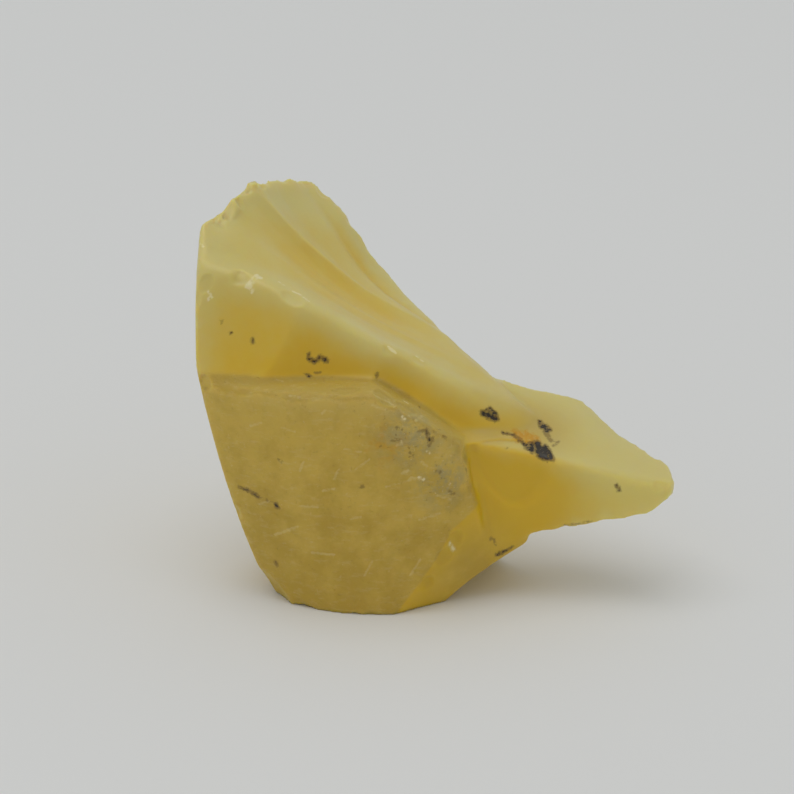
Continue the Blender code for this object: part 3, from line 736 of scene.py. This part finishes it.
# A pattern is one noise: clouds in each unit, detail and roughness.
HACKLE = (1.0, 3.0, 0.6)
PLATE_GRAIN = (1.6, 3.0, 0.6)
FAN_FADE = (6.0, 17.0)  # the reach in mm at which the relief comes in
RELIEF_SIZES = {
    "Flute depth": 0.36,
    "Flute width": 2.2,
    "Lip height": 0.14,
    "Rim flute depth": 0.24,
    "Hackle height": 0.07,
    "Grain height": 0.02,
}


def fan_profile(tree, given, bearing, reach):
    """Height of the fan's flutes, lip and hackle, and how deep in a flute a place lies."""
    arris = tree.sum("MULTIPLY_ADD", reach, ARRIS_TURN, ARRIS_BEARING - ARRIS_TURN * ARRIS_REACH)
    turn = tree.sum("RADIANS", tree.sum("SUBTRACT", bearing, arris))
    across = tree.times(turn, reach)
    below = tree.sum("MAXIMUM", across, 0.0)
    above = tree.sum("MINIMUM", across, 0.0)
    share = tree.sum("DIVIDE", below, given["Flute width"])
    dip = tree.times(share, tree.sum("EXPONENT", tree.sum("SUBTRACT", 1.0, share)))
    lip = tree.sum("EXPONENT", tree.sum("DIVIDE", above, LIP_RISE))
    lip = tree.times(lip, tree.sum("EXPONENT", tree.times(below, LIP_FALL)))
    rim = tree.sum("DIVIDE", tree.sum("SUBTRACT", bearing, RIM_BEARING), RIM_SPREAD)
    rim = tree.sum("EXPONENT", tree.times(tree.sum("POWER", rim, 2.0), -1.0))
    streaks = tree.joined(tree.times(bearing, STREAKS[0]), tree.times(reach, STREAKS[1]), 0.0)
    hackle = tree.sum("SUBTRACT", tree.noise(streaks, *HACKLE), 0.5)
    lip = tree.times(lip, given["Lip height"])
    hackle = tree.times(hackle, given["Hackle height"])
    flute = tree.times(dip, given["Flute depth"])
    rim_flute = tree.times(rim, given["Rim flute depth"])
    height = tree.sum("SUBTRACT", tree.total(lip, hackle), tree.total(flute, rim_flute))
    flute_shade = tree.sum("MAXIMUM", dip, rim)
    fade = tree.ramp(reach, *FAN_FADE)
    return tree.times(height, fade), tree.times(flute_shade, fade)


def plate_grain(tree, given, place):
    """The frosted plate's fine unevenness."""
    named = tree.add("GeometryNodeInputNamedAttribute", data_type="FLOAT")
    named.inputs["Name"].default_value = "plate"
    grain = tree.sum("SUBTRACT", tree.noise(place, *PLATE_GRAIN), 0.5)
    return tree.times(grain, named.outputs[0], given["Grain height"])


print("flutes in mm:", RELIEF_SIZES["Flute depth"], "and", RELIEF_SIZES["Rim flute depth"])

# %% Build the relief tree
FOOT_FADE = (0.05, 1.2)  # the height in mm over which the relief comes in above the table


def add_sockets(group):
    """The mesh goes in and comes out, and each size has a named input."""
    face = group.interface
    face.new_socket("Geometry", in_out="INPUT", socket_type="NodeSocketGeometry")
    for name, size in RELIEF_SIZES.items():
        socket = face.new_socket(name, in_out="INPUT", socket_type="NodeSocketFloat")
        socket.default_value = size
    face.new_socket("Geometry", in_out="OUTPUT", socket_type="NodeSocketGeometry")


def relief_tree(material):
    """The stone's fine relief as a Geometry Nodes tree."""
    group = bpy.data.node_groups.new("fracture_relief", "GeometryNodeTree")
    add_sockets(group)
    tree = Tree(group)
    given = tree.add("NodeGroupInput").outputs
    place = tree.scaled(tree.add("GeometryNodeInputPosition").outputs[0], 1 / MM)
    facing = tree.add("GeometryNodeInputNormal").outputs[0]
    on_fan = fan_mask(tree, place, facing)
    profile, flute_shade = fan_profile(tree, given, *blow_compass(tree, place))
    height = tree.total(tree.times(profile, on_fan), plate_grain(tree, given, place))
    height = tree.times(height, tree.ramp(tree.parts(place)[2], *FOOT_FADE), MM)
    # The flutes' depth is kept for the shade that the material paints into them.
    keep = tree.add("GeometryNodeStoreNamedAttribute", data_type="FLOAT", domain="POINT")
    tree.feed(keep.inputs["Geometry"], given["Geometry"])
    tree.feed(keep.inputs["Name"], "flute")
    tree.feed(keep.inputs["Value"], tree.times(flute_shade, on_fan))
    move = tree.add("GeometryNodeSetPosition")
    tree.feed(move.inputs["Geometry"], keep.outputs["Geometry"])
    tree.feed(move.inputs["Offset"], tree.scaled(facing, height))
    whole = tree.add("GeometryNodeRealizeInstances")
    tree.feed(whole.inputs[0], move.outputs[0])
    paint = tree.add("GeometryNodeSetMaterial")
    tree.feed(paint.inputs["Geometry"], whole.outputs[0])
    tree.feed(paint.inputs["Material"], material)
    tree.feed(tree.add("NodeGroupOutput").inputs[0], paint.outputs[0])
    return group


print("inputs of the relief tree:", len(RELIEF_SIZES))

# %% [markdown]
# ## How much light reaches the inside
# In a waxy stone the light that turns back near the surface comes out pale, and light that has
# come a long way through the stone comes out deep amber. This light is painted into the colour:
# painted light makes the upper edges and the thin tip pale, and painted shade makes the feet of
# the faces, with a lot of stone above them, deep. From a point just under each triangle of the
# solid a few dozen rays go out to the surface; short ways up count most, for most of the light
# comes from above. The skin takes the soft average of its neighbours' values, as an attribute
# that the material paints into the colour.

# %% Measure the light inside the solid
GLOW_RAYS = 64
GLOW_DEPTH = 1.0 * MM
GLOW_REACH = 6.0 * MM  # way through the stone on which the light falls to a third
SIDE_SHARE = 0.4  # light from the side, set against light from straight above
FLOOR_SHARE = 0.18  # and light from below


def round_directions(count):
    """Even directions over a ball, by the golden angle."""
    index = np.arange(count)
    height = 1.0 - 2.0 * (index + 0.5) / count
    turn = index * math.pi * (3.0 - math.sqrt(5.0))
    flat = np.sqrt(1.0 - height ** 2)
    return np.stack([flat * np.cos(turn), flat * np.sin(turn), height], axis=1)


def light_rays():
    """Directions from inside the stone, each with the share of the light that comes that way."""
    rays = []
    for direction in round_directions(GLOW_RAYS):
        up = direction[2]
        share = SIDE_SHARE + (1.0 - SIDE_SHARE) * up if up > 0.0 else FLOOR_SHARE
        rays.append((Vector(direction), share))
    return rays


def glow_of_triangles(mesh):
    """The share of the outer light that reaches the stone just under each triangle."""
    corners = [vertex.co for vertex in mesh.vertices]
    solid = BVHTree.FromPolygons(corners, [polygon.vertices for polygon in mesh.polygons])
    rays = light_rays()
    whole = sum(share for _, share in rays)
    glow = []
    for polygon in mesh.polygons:
        start = polygon.center - polygon.normal * GLOW_DEPTH
        light = 0.0
        for direction, share in rays:
            way = solid.ray_cast(start, direction)[3]
            light += share * math.exp(-(way or 0.0) / GLOW_REACH)
        glow.append(light / whole)
    return glow


triangle_glow = glow_of_triangles(SOLID.data)
print("triangles lit:", len(triangle_glow), "by", GLOW_RAYS, "rays each")

# %% Spread the light over the skin
GLOW_NEIGHBOURS = 10
GLOW_BLUR = 0.8  # in mm
LEAST_PULL = 1e-6  # keeps the average of far neighbours from dividing by zero


def inner_light(places):
    """The soft average of the nearest triangles' light at each place."""
    finder = finder_of([polygon.center / MM for polygon in SOLID.data.polygons])
    result = np.zeros(len(places))
    for index, place in enumerate(places):
        total = weight = 0.0
        for _, triangle, gap in finder.find_n(place, GLOW_NEIGHBOURS):
            pull = math.exp(-((gap / GLOW_BLUR) ** 2)) + LEAST_PULL
            total += pull * triangle_glow[triangle]
            weight += pull
        result[index] = total / weight
    return result


glow = inner_light(places)
store(stone, "glow", glow)
print("inner light from", round(float(glow.min()), 2), "to", round(float(glow.max()), 2))

# %% [markdown]
# ## The opal itself
# Common opal is a gel that has set hard: light goes a few millimetres in, scatters and comes out
# yellow. Paint on a surface can't do that, so the material uses the shader's subsurface
# scattering, with red light going deeper than blue. Thin edges then glow by themselves.
# The colour is laid on in layers: the amber body with its painted light and shade, the frost
# over the plate with its painted shade, the bruise and the rust on it, its tooth with painted
# glints, and last the marks, among them painted glints. Each layer is a function that takes the
# colour so far and gives back the new one, and all of them read the same few fields.

# %% The fields that every layer reads
# A pattern is one noise: clouds in each mm, detail and roughness. A step is a soft one: where
# it starts, where it ends and, if they aren't 0 and 1, its values there.
WOBBLE = (1.4, 4.0, 0.7)
FRAY = (3.0, 4.0, 0.65)
WOBBLE_REACH = 0.7  # how far the edge of a blot is pushed about, in mm
FRONT_FACING = (-0.7, -0.3)  # the normal's y on a front face, and where it is one no more
LIFTED = (0.4, 0.8)  # the normal's z where a face starts to look up, and where it does


def stored(tree, name):
    """A value that is stored on the points of the skin."""
    return tree.add("ShaderNodeAttribute", attribute_name=name).outputs["Fac"]


class Fields:
    """What the layers read at a point of the skin. A layer can add fields for later ones."""

    def __init__(self, tree):
        object_place = tree.add("ShaderNodeTexCoord").outputs["Object"]
        self.place = tree.scaled(object_place, 1 / MM)
        wobble = tree.noise(self.place, *WOBBLE, colour=True)
        drift = tree.vector("SUBTRACT", wobble, (0.5, 0.5, 0.5))
        self.ragged = tree.vector("ADD", self.place, tree.scaled(drift, WOBBLE_REACH))
        self.fray = tree.sum("SUBTRACT", tree.noise(self.place, *FRAY), 0.5)
        self.plate = stored(tree, "plate")
        normal = tree.add("ShaderNodeNewGeometry").outputs["Normal"]
        _, forward, self.upward = tree.parts(normal)
        self.front = tree.ramp(forward, *FRONT_FACING, 1.0, 0.0)
        self.lifted = tree.ramp(self.upward, *LIFTED)


def blot(tree, place, centre, size):
    """A soft round blot: 1 at its centre, 0 at `size` from it."""
    gap = tree.vector("DISTANCE", place, centre)
    return tree.ramp(gap, 0.0, size, 1.0, 0.0)


def blots(tree, place, spots):
    """Several soft round blots; where they overlap, the strongest counts."""
    first, *others = [blot(tree, place, *spot) for spot in spots]
    for other in others:
        first = tree.sum("MAXIMUM", first, other)
    return first


print("a blot's edge wanders by up to", WOBBLE_REACH / 2, "mm")

# %% [markdown]
# ### The amber body
# The inner light of each point is painted into the colour, between deep amber and pale honey,
# and slow clouds shift it a little, because the gel never set quite evenly. Shade is painted
# into the flutes, and faces that look up get a painted sheen. Where the arm meets the body a lot
# of stone lies behind the face, and painted shade makes it deeper there; painted light makes the
# thin tip of the arm pale. The two worn brows above the arm are a duller brown.

# %% Layer: amber and honey
# The two ends of the painted inner light: deep amber is painted shade, pale honey is painted
# light.
DEEP = (0.71, 0.475, 0.022, 1.0)
PALE = (0.695, 0.60, 0.23, 1.0)
# Painted light: the pale colour of the thin tip, as if light shone through it.
TIP = (0.80, 0.68, 0.21, 1.0)
BROW = (0.58, 0.43, 0.12, 1.0)
GLOW_DEEP = 0.40  # inner light of the deepest amber
GLOW_PALE = 0.72  # inner light of the palest honey
CLOUDS = (0.22, 4.0, 0.6)
CLOUD_SHIFT = 0.16
# Painted shade: the flutes are painted deeper amber.
FLUTE_SHADE = -0.07
# Painted sheen: faces that look up are painted paler, as if they caught the light from above.
UPWARD_SHEEN = (0.3, 0.95, 0.0, 0.06)  # faces that look up are a little paler
# Soft round places: the centre and the size in mm.
# Painted shade: the front where the arm meets the body is painted deeper amber.
ARM_FRONT = ((8.5, -9.6, 13.4), 7.5)
ARM_FRONT_SHADE = -0.16
# Painted light on the thin tip, less where it looks up.
THIN_TIP = ((19.5, -9.4, 10.6), 11.0)
TIP_LIGHT_SHARE = 0.7
TIP_LESS_ON_TOP = -0.65
BROWS = [((4.6, -6.9, 17.0), 5.0), ((9.5, -5.6, 16.4), 5.5)]
BROW_SHARE = 0.8


def amber_body(tree, fields):
    cloud = tree.sum("SUBTRACT", tree.noise(fields.place, *CLOUDS), 0.5)
    # The stored inner light is painted light and shade; the clouds are the gel's own tone.
    glow = tree.sum("MULTIPLY_ADD", cloud, CLOUD_SHIFT, stored(tree, "glow"))
    glow = tree.sum("MULTIPLY_ADD", stored(tree, "flute"), FLUTE_SHADE, glow)
    glow = tree.sum("ADD", glow, tree.ramp(fields.upward, *UPWARD_SHEEN))
    arm_front_shade = tree.times(blot(tree, fields.place, *ARM_FRONT), fields.front)
    glow = tree.sum("MULTIPLY_ADD", arm_front_shade, ARM_FRONT_SHADE, glow)
    share = tree.sum("DIVIDE", tree.sum("SUBTRACT", glow, GLOW_DEEP), GLOW_PALE - GLOW_DEEP)
    body = tree.blend(tree.ramp(share, 0.0, 1.0), DEEP, PALE)
    tip_share = tree.sum("MULTIPLY_ADD", fields.lifted, TIP_LESS_ON_TOP, TIP_LIGHT_SHARE)
    tip = tree.times(blot(tree, fields.place, *THIN_TIP), tip_share)
    body = tree.blend(tip, body, TIP)
    brow = tree.times(blots(tree, fields.ragged, BROWS), fields.lifted, BROW_SHARE)
    return tree.blend(brow, body, BROW)


print("inner light", GLOW_DEEP, "is amber,", GLOW_PALE, "is honey")

# %% [markdown]
# ### The frost
# The plate's face was ground by sand, so it scatters light at the surface and hides the glow
# below. It is a duller yellow and mottled, and painted shade makes it slightly darker towards
# the foot and on the ledge.
# The broken corner under the arm is rubbed in the same way.

# %% Layer: frost over the plate
FROST = (0.66, 0.478, 0.106, 1.0)
FROST_DARK = (0.51, 0.352, 0.060, 1.0)
MOTTLE = (0.35, 5.0, 0.65)
# Painted shade: the plate is painted darker towards the foot, paler with height.
FOOT_SHADE_RISE = 0.014  # paler with each mm of height
MOTTLE_STEP = (0.42, 0.86)
# Painted shade on the ledge, where the plate looks up.
LEDGE_SHADE = (0.0, 0.8, 0.0, 0.5)  # darker where the plate looks up
PLATE_FROST = 0.85
RUBBED_CORNER = ((3.2, -9.8, 3.6), 7.5)
CORNER_FROST = 0.75


def frost_over(tree, fields, body):
    height = tree.parts(fields.place)[2]
    mottle_and_shade = tree.noise(fields.place, *MOTTLE)
    # Painted shade towards the foot and on the ledge, over the mottle.
    mottle_and_shade = tree.sum("MULTIPLY_ADD", height, FOOT_SHADE_RISE, mottle_and_shade)
    mottle_and_shade = tree.sum("SUBTRACT", mottle_and_shade, tree.ramp(fields.upward, *LEDGE_SHADE))
    frost = tree.blend(tree.ramp(mottle_and_shade, *MOTTLE_STEP), FROST_DARK, FROST)
    corner = tree.times(blot(tree, fields.ragged, *RUBBED_CORNER), CORNER_FROST)
    frosted = tree.sum("MAXIMUM", tree.times(fields.plate, PLATE_FROST), corner)
    return tree.blend(frosted, body, frost)


print("frost hides", PLATE_FROST, "of the amber on the plate")

# %% [markdown]
# ### Bruise and rust
# A hard knock leaves a web of tiny cracks under the surface, which looks grey, and iron that
# creeps in along the cracks turns orange. Both are ragged: each is a round blot whose edge is
# pushed about by a noise, broken into patches by a second one.

# %% Layer: bruise and rust
BRUISE = (0.38, 0.335, 0.175, 1.0)
RUST = (0.64, 0.33, 0.015, 1.0)
BRUISES = [((-2.2, -12.0, 18.0), 5.0), ((0.6, -11.3, 13.4), 4.4)]
BRUISE_PATCHES = (0.8, 4.0, 0.65)
BRUISE_STEP = (0.36, 0.64)
BRUISE_SHARE = 0.75
RUST_PLACE = ((-4.8, -12.2, 17.4), 3.6)
RUST_PATCHES = (0.9, 3.0, 0.6)
RUST_STEP = (0.45, 0.65)
RUST_SHARE = 0.5
# The edge of a mark: how much it frays in mm, where it starts to fade and where it ends, as
# distances from its outline in mm, and its strength inside.
IRON_EDGE = (1.2, -0.1, 0.55, 0.9)


def drawn(tree, fields, name, fray, start, end, strength):
    """Marks of one stored kind, with a frayed edge."""
    gap = tree.sum("MULTIPLY_ADD", fields.fray, fray, stored(tree, name))
    return tree.ramp(gap, start, end, strength, 0.0)


def bruise_on(tree, fields, body):
    fields.bruise = blots(tree, fields.ragged, BRUISES)
    patches = tree.ramp(tree.noise(fields.place, *BRUISE_PATCHES), *BRUISE_STEP)
    bruise = tree.times(fields.bruise, patches, fields.plate, BRUISE_SHARE)
    body = tree.blend(bruise, body, BRUISE)
    patches = tree.ramp(tree.noise(fields.place, *RUST_PATCHES), *RUST_STEP)
    rust = tree.times(blot(tree, fields.ragged, *RUST_PLACE), patches, RUST_SHARE)
    rust = tree.sum("MAXIMUM", rust, drawn(tree, fields, "iron", *IRON_EDGE))
    return tree.blend(rust, body, RUST)


print("bruises:", len(BRUISES))

# %% [markdown]
# ### The tooth of the plate
# Seen close up, a frosted face is full of tiny things: level scuffs, pits that hold dirt and
# grains that catch the light, which are painted glints. All three are thresholds of a fine
# noise. Pits and painted glints are densest near the bruise.

# %% Layer: scuffs, pits and painted glints
# Pale scuffs are the plate's own wear; the same pale colour paints the glints of the grains.
SCUFF_AND_GLINT = (0.80, 0.70, 0.38, 1.0)
BROWN = (0.20, 0.12, 0.028, 1.0)
NEAR_BRUISE = (0.7, 0.3)  # more near the bruise, and everywhere
SCUFF_STRETCH = (0.6, 1.0, 1.8)  # scuffs lie level
SCUFFS = (1.2, 5.0, 0.7)
SCUFF_STEP = (0.50, 0.72)
SCUFF_SHARE = 0.16
PIT_SHIFT = (31.0, 17.0, 5.0)  # keeps the pits apart from the grains
PITS = (2.4, 3.0, 0.6)
PIT_STEP = (0.62, 0.72)
PIT_SHARE = 0.45
# Painted glints: tiny pale grains where the frost catches the light.
GLINT_GRAINS = (2.7, 3.0, 0.65)
GLINT_GRAIN_STEP = (0.63, 0.71)
GLINT_GRAIN_SHARE = 0.55


def tooth_on(tree, fields, body):
    stretched = tree.vector("MULTIPLY", fields.place, SCUFF_STRETCH)
    scuffs = tree.ramp(tree.noise(stretched, *SCUFFS), *SCUFF_STEP)
    fields.scuffs = tree.times(scuffs, tree.times(fields.plate, SCUFF_SHARE))
    body = tree.blend(fields.scuffs, body, SCUFF_AND_GLINT)
    near_bruise = tree.sum("MULTIPLY_ADD", fields.bruise, *NEAR_BRUISE)
    shifted = tree.vector("ADD", fields.place, PIT_SHIFT)
    pits = tree.ramp(tree.noise(shifted, *PITS), *PIT_STEP)
    fields.pits = tree.times(pits, fields.plate, near_bruise)
    body = tree.blend(tree.times(fields.pits, PIT_SHARE), body, BROWN)
    # The painted glints of the grains, densest near the bruise.
    glint_grains = tree.ramp(tree.noise(fields.place, *GLINT_GRAINS), *GLINT_GRAIN_STEP)
    glint_grains = tree.times(glint_grains, fields.plate, near_bruise, GLINT_GRAIN_SHARE)
    return tree.blend(glint_grains, body, SCUFF_AND_GLINT)


print("pits from", PIT_STEP[0], "of their noise, grains from", GLINT_GRAIN_STEP[0])

# %% [markdown]
# ### The marks
# Each kind of mark was stored as a distance from its outline. A little noise added to the
# distance frays the outline, and a ramp turns it into paint. The glints are painted highlights.
# A black speck gets two ramps: a brown rim, where its iron has leached out, and the black core.

# %% Layer: scratches, glints and specks
# Painted highlight: the colour of the glints.
GLINT = (0.86, 0.78, 0.50, 1.0)
DIRT = (0.028, 0.023, 0.017, 1.0)
# Edges as for the iron: the fray, where it starts to fade, where it ends, and its strength.
SCRATCH_EDGE = (0.35, -0.06, 0.13, 1.0)
GLINT_EDGE = (0.3, -0.06, 0.12, 0.7)
FAINT_EDGE = (0.7, -0.12, 0.14, 0.6)
SPECK_RIM = (0.65, -0.03, 0.22, 0.7)
SPECK_CORE = (0.65, -0.16, -0.02, 1.0)
SCRATCH_SHARE = 0.33
DIRT_SHARE = 0.95


def marks_on(tree, fields, body):
    fields.scratch = drawn(tree, fields, "scratch", *SCRATCH_EDGE)
    body = tree.blend(tree.times(fields.scratch, SCRATCH_SHARE), body, SCUFF_AND_GLINT)
    body = tree.blend(drawn(tree, fields, "glint", *GLINT_EDGE), body, GLINT)
    faint = drawn(tree, fields, "faint", *FAINT_EDGE)
    rim = tree.sum("MAXIMUM", faint, drawn(tree, fields, "speck", *SPECK_RIM))
    body = tree.blend(rim, body, BROWN)
    fields.dirt = drawn(tree, fields, "speck", *SPECK_CORE)
    return tree.blend(tree.times(fields.dirt, DIRT_SHARE), body, DIRT)


print("a speck's brown rim ends", SPECK_RIM[2], "mm outside it")

# %% [markdown]
# ### Gloss and fine bump
# The fracture faces are waxy and the plate is frosted, so the gloss is one number for each and
# the plate's attribute mixes them. A gloss that changes from point to point seems richer, but
# under scattered light it shows as small dark ticks. The bump holds only what is too fine or
# too shallow for the skin: a slow wave, the tooth of the plate, pits, scuffs, scratches and
# specks.

# %% Gloss and bump
WAXY = 0.34
FROSTED = 0.58
WAVES = (0.7, 3.0, 0.5)
TOOTH = (3.2, 4.0, 0.7)
DIMPLES = (2.2, 1.0, 0.5)
DIMPLE_STEP = (0.68, 0.78, 0.0, -0.05)
# Heights of the bump in mm.
WAVE_HEIGHT = 0.05
TOOTH_HEIGHT = 0.06
SCRATCH_HEIGHT = -0.03
PIT_HEIGHT = -0.08
SCUFF_HEIGHT = 0.10
DIRT_HEIGHT = -0.06


def gloss(tree, fields):
    mix = tree.add("ShaderNodeMix", data_type="FLOAT")
    tree.feed(mix.inputs[0], fields.plate)
    tree.feed(mix.inputs[2], WAXY)
    tree.feed(mix.inputs[3], FROSTED)
    return mix.outputs[0]


def fine_bump(tree, fields):
    dimples = tree.ramp(tree.noise(fields.place, *DIMPLES), *DIMPLE_STEP)
    height = tree.total(
        tree.times(tree.noise(fields.place, *WAVES), WAVE_HEIGHT),
        tree.times(tree.noise(fields.place, *TOOTH), TOOTH_HEIGHT, fields.plate),
        tree.times(dimples, fields.plate),
        tree.times(fields.scratch, SCRATCH_HEIGHT),
        tree.times(fields.pits, PIT_HEIGHT),
        tree.times(fields.scuffs, SCUFF_HEIGHT),
        tree.times(fields.dirt, DIRT_HEIGHT),
    )
    bump = tree.add("ShaderNodeBump")
    tree.feed(bump.inputs["Strength"], 1.0)
    tree.feed(bump.inputs["Distance"], MM)
    tree.feed(bump.inputs["Height"], height)
    return bump.outputs[0]


print("roughness:", WAXY, "waxy,", FROSTED, "frosted")

# %% [markdown]
# ### The layers together
# The scattering is even over the whole stone. How far light goes in is set by one length, and
# red goes the whole of it, green four fifths and blue two fifths, which is what makes the
# shadows inside the stone warm.

# %% The opal material
SCATTER_REACH = 0.0009  # in metres
SCATTER_COLOURS = (1.0, 0.80, 0.40)
SCATTER_FORWARD = 0.3
OPAL_IOR = 1.45


def opal_material():
    material = bpy.data.materials.new("opal_waxy")
    material.use_nodes = True
    tree = Tree(material.node_tree)
    shader = material.node_tree.nodes["Principled BSDF"]
    fields = Fields(tree)
    body = amber_body(tree, fields)
    for layer in (frost_over, bruise_on, tooth_on, marks_on):
        body = layer(tree, fields, body)
    tree.feed(shader.inputs["Base Color"], body)
    tree.feed(shader.inputs["Roughness"], gloss(tree, fields))
    tree.feed(shader.inputs["Normal"], fine_bump(tree, fields))
    shader.subsurface_method = "RANDOM_WALK"
    shader.inputs["Subsurface Weight"].default_value = 1.0
    shader.inputs["Subsurface Radius"].default_value = SCATTER_COLOURS
    shader.inputs["Subsurface Scale"].default_value = SCATTER_REACH
    shader.inputs["Subsurface Anisotropy"].default_value = SCATTER_FORWARD
    shader.inputs["IOR"].default_value = OPAL_IOR
    return material


opal = opal_material()
print("material nodes:", len(opal.node_tree.nodes))

# %% [markdown]
# ## Carve the stone
# The relief could stay a live modifier, but the pieces of a part are plain meshes, so the tree
# is worked into the skin. Smoothing and relief can push a point a hair beyond the solid. The
# skin is then held inside the solid's box, and its foot is pressed flat on the table.

# %% Carve the relief into the skin
FOOT_SNAP = 0.1 * MM


def carve(thing, material):
    group = relief_tree(material)
    modifier = thing.modifiers.new("fracture relief", "NODES")
    modifier.node_group = group
    for item in group.interface.items_tree:
        if item.in_out == "INPUT" and item.name in RELIEF_SIZES:
            modifier[item.identifier] = RELIEF_SIZES[item.name]
    return settled(thing)


def keep_in_box(thing):
    """Holds the skin inside the solid's box and its foot flat on the table."""
    points = skin_places(thing) * MM
    low, high = np.array(CAD_BOX[0]), np.array(CAD_BOX[1])
    points = np.clip(points, low, high)
    points[points[:, 2] < FOOT_SNAP, 2] = 0.0
    thing.data.vertices.foreach_set("co", points.ravel())
    thing.data.update()


stone = carve(stone, opal)
keep_in_box(stone)
stone.data.shade_smooth()
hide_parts("rough_opal")
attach(stone, "root")
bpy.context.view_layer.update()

# %% [markdown]
# ## Table, light and camera
# A light tent suits glossy stone: light comes from everywhere, a little more from above, so the
# shadow is soft and gathers under the arm. The table is a plain pale sheet. The camera stands
# in front, a little above the stone, with a long lens that keeps its shape true.

# %% The table
TABLE_SIZE = 3.0
PAPER = (0.80, 0.80, 0.79, 1.0)
PAPER_ROUGH = 0.9


def table():
    bpy.ops.mesh.primitive_plane_add(size=TABLE_SIZE)
    sheet = bpy.context.object
    sheet.name = "table"
    paper = bpy.data.materials.new("paper")
    paper.use_nodes = True
    shader = paper.node_tree.nodes["Principled BSDF"]
    shader.inputs["Base Color"].default_value = PAPER
    shader.inputs["Roughness"].default_value = PAPER_ROUGH
    sheet.data.materials.append(paper)
    return sheet


print("stage:", table().name)

# %% The light
SKY = (0.98, 1.0, 1.0, 1.0)
SKY_STRENGTH = 0.51


def sky():
    world = bpy.data.worlds.new("tent")
    bpy.context.scene.world = world
    world.use_nodes = True
    back = world.node_tree.nodes["Background"]
    back.inputs["Color"].default_value = SKY
    back.inputs["Strength"].default_value = SKY_STRENGTH


def softbox(name, place, target, size, power):
    light = bpy.data.lights.new(name, "AREA")
    light.shape = "RECTANGLE"
    light.size, light.size_y = size
    light.energy = power
    lamp = bpy.data.objects.new(name, light)
    bpy.context.scene.collection.objects.link(lamp)
    lamp.location = place
    aim = Vector(target) - Vector(place)
    lamp.rotation_euler = aim.to_track_quat("-Z", "Y").to_euler()
    return lamp


sky()
lamp = softbox(
    "top_light", place=(-0.22, -0.17, 1.10), target=(0.0, 0.0, 0.0), size=(0.9, 0.9), power=3.5
)
print("light:", SKY_STRENGTH, "all round, and", lamp.data.energy, "W from above")

# %% The camera
PIXEL_MM = 0.094  # what one pixel covers at the stone
FRAME_PX = 794
SENSOR_MM = 36.0
CLIP_START = 0.01
DISTANCE = 320.0
ELEVATION = math.radians(22.0)
AIM = (-3.6, -1.29, 17.5)


def camera():
    lens = bpy.data.cameras.new("camera")
    lens.sensor_width = SENSOR_MM
    lens.lens = SENSOR_MM * DISTANCE / (PIXEL_MM * FRAME_PX)
    lens.clip_start = CLIP_START
    eye = bpy.data.objects.new("camera", lens)
    bpy.context.scene.collection.objects.link(eye)
    view = Vector((0.0, math.cos(ELEVATION), -math.sin(ELEVATION)))
    eye.location = (Vector(AIM) - view * DISTANCE) * MM
    eye.rotation_euler = view.to_track_quat("-Z", "Y").to_euler()
    bpy.context.scene.camera = eye
    return lens


print("lens:", round(camera().lens, 1), "mm")
bpy.context.scene.view_settings.view_transform = "Standard"

# %% [markdown]
# ## The size
# The finished stone has to fit the solid that it stands for, so it is held inside the solid's box.
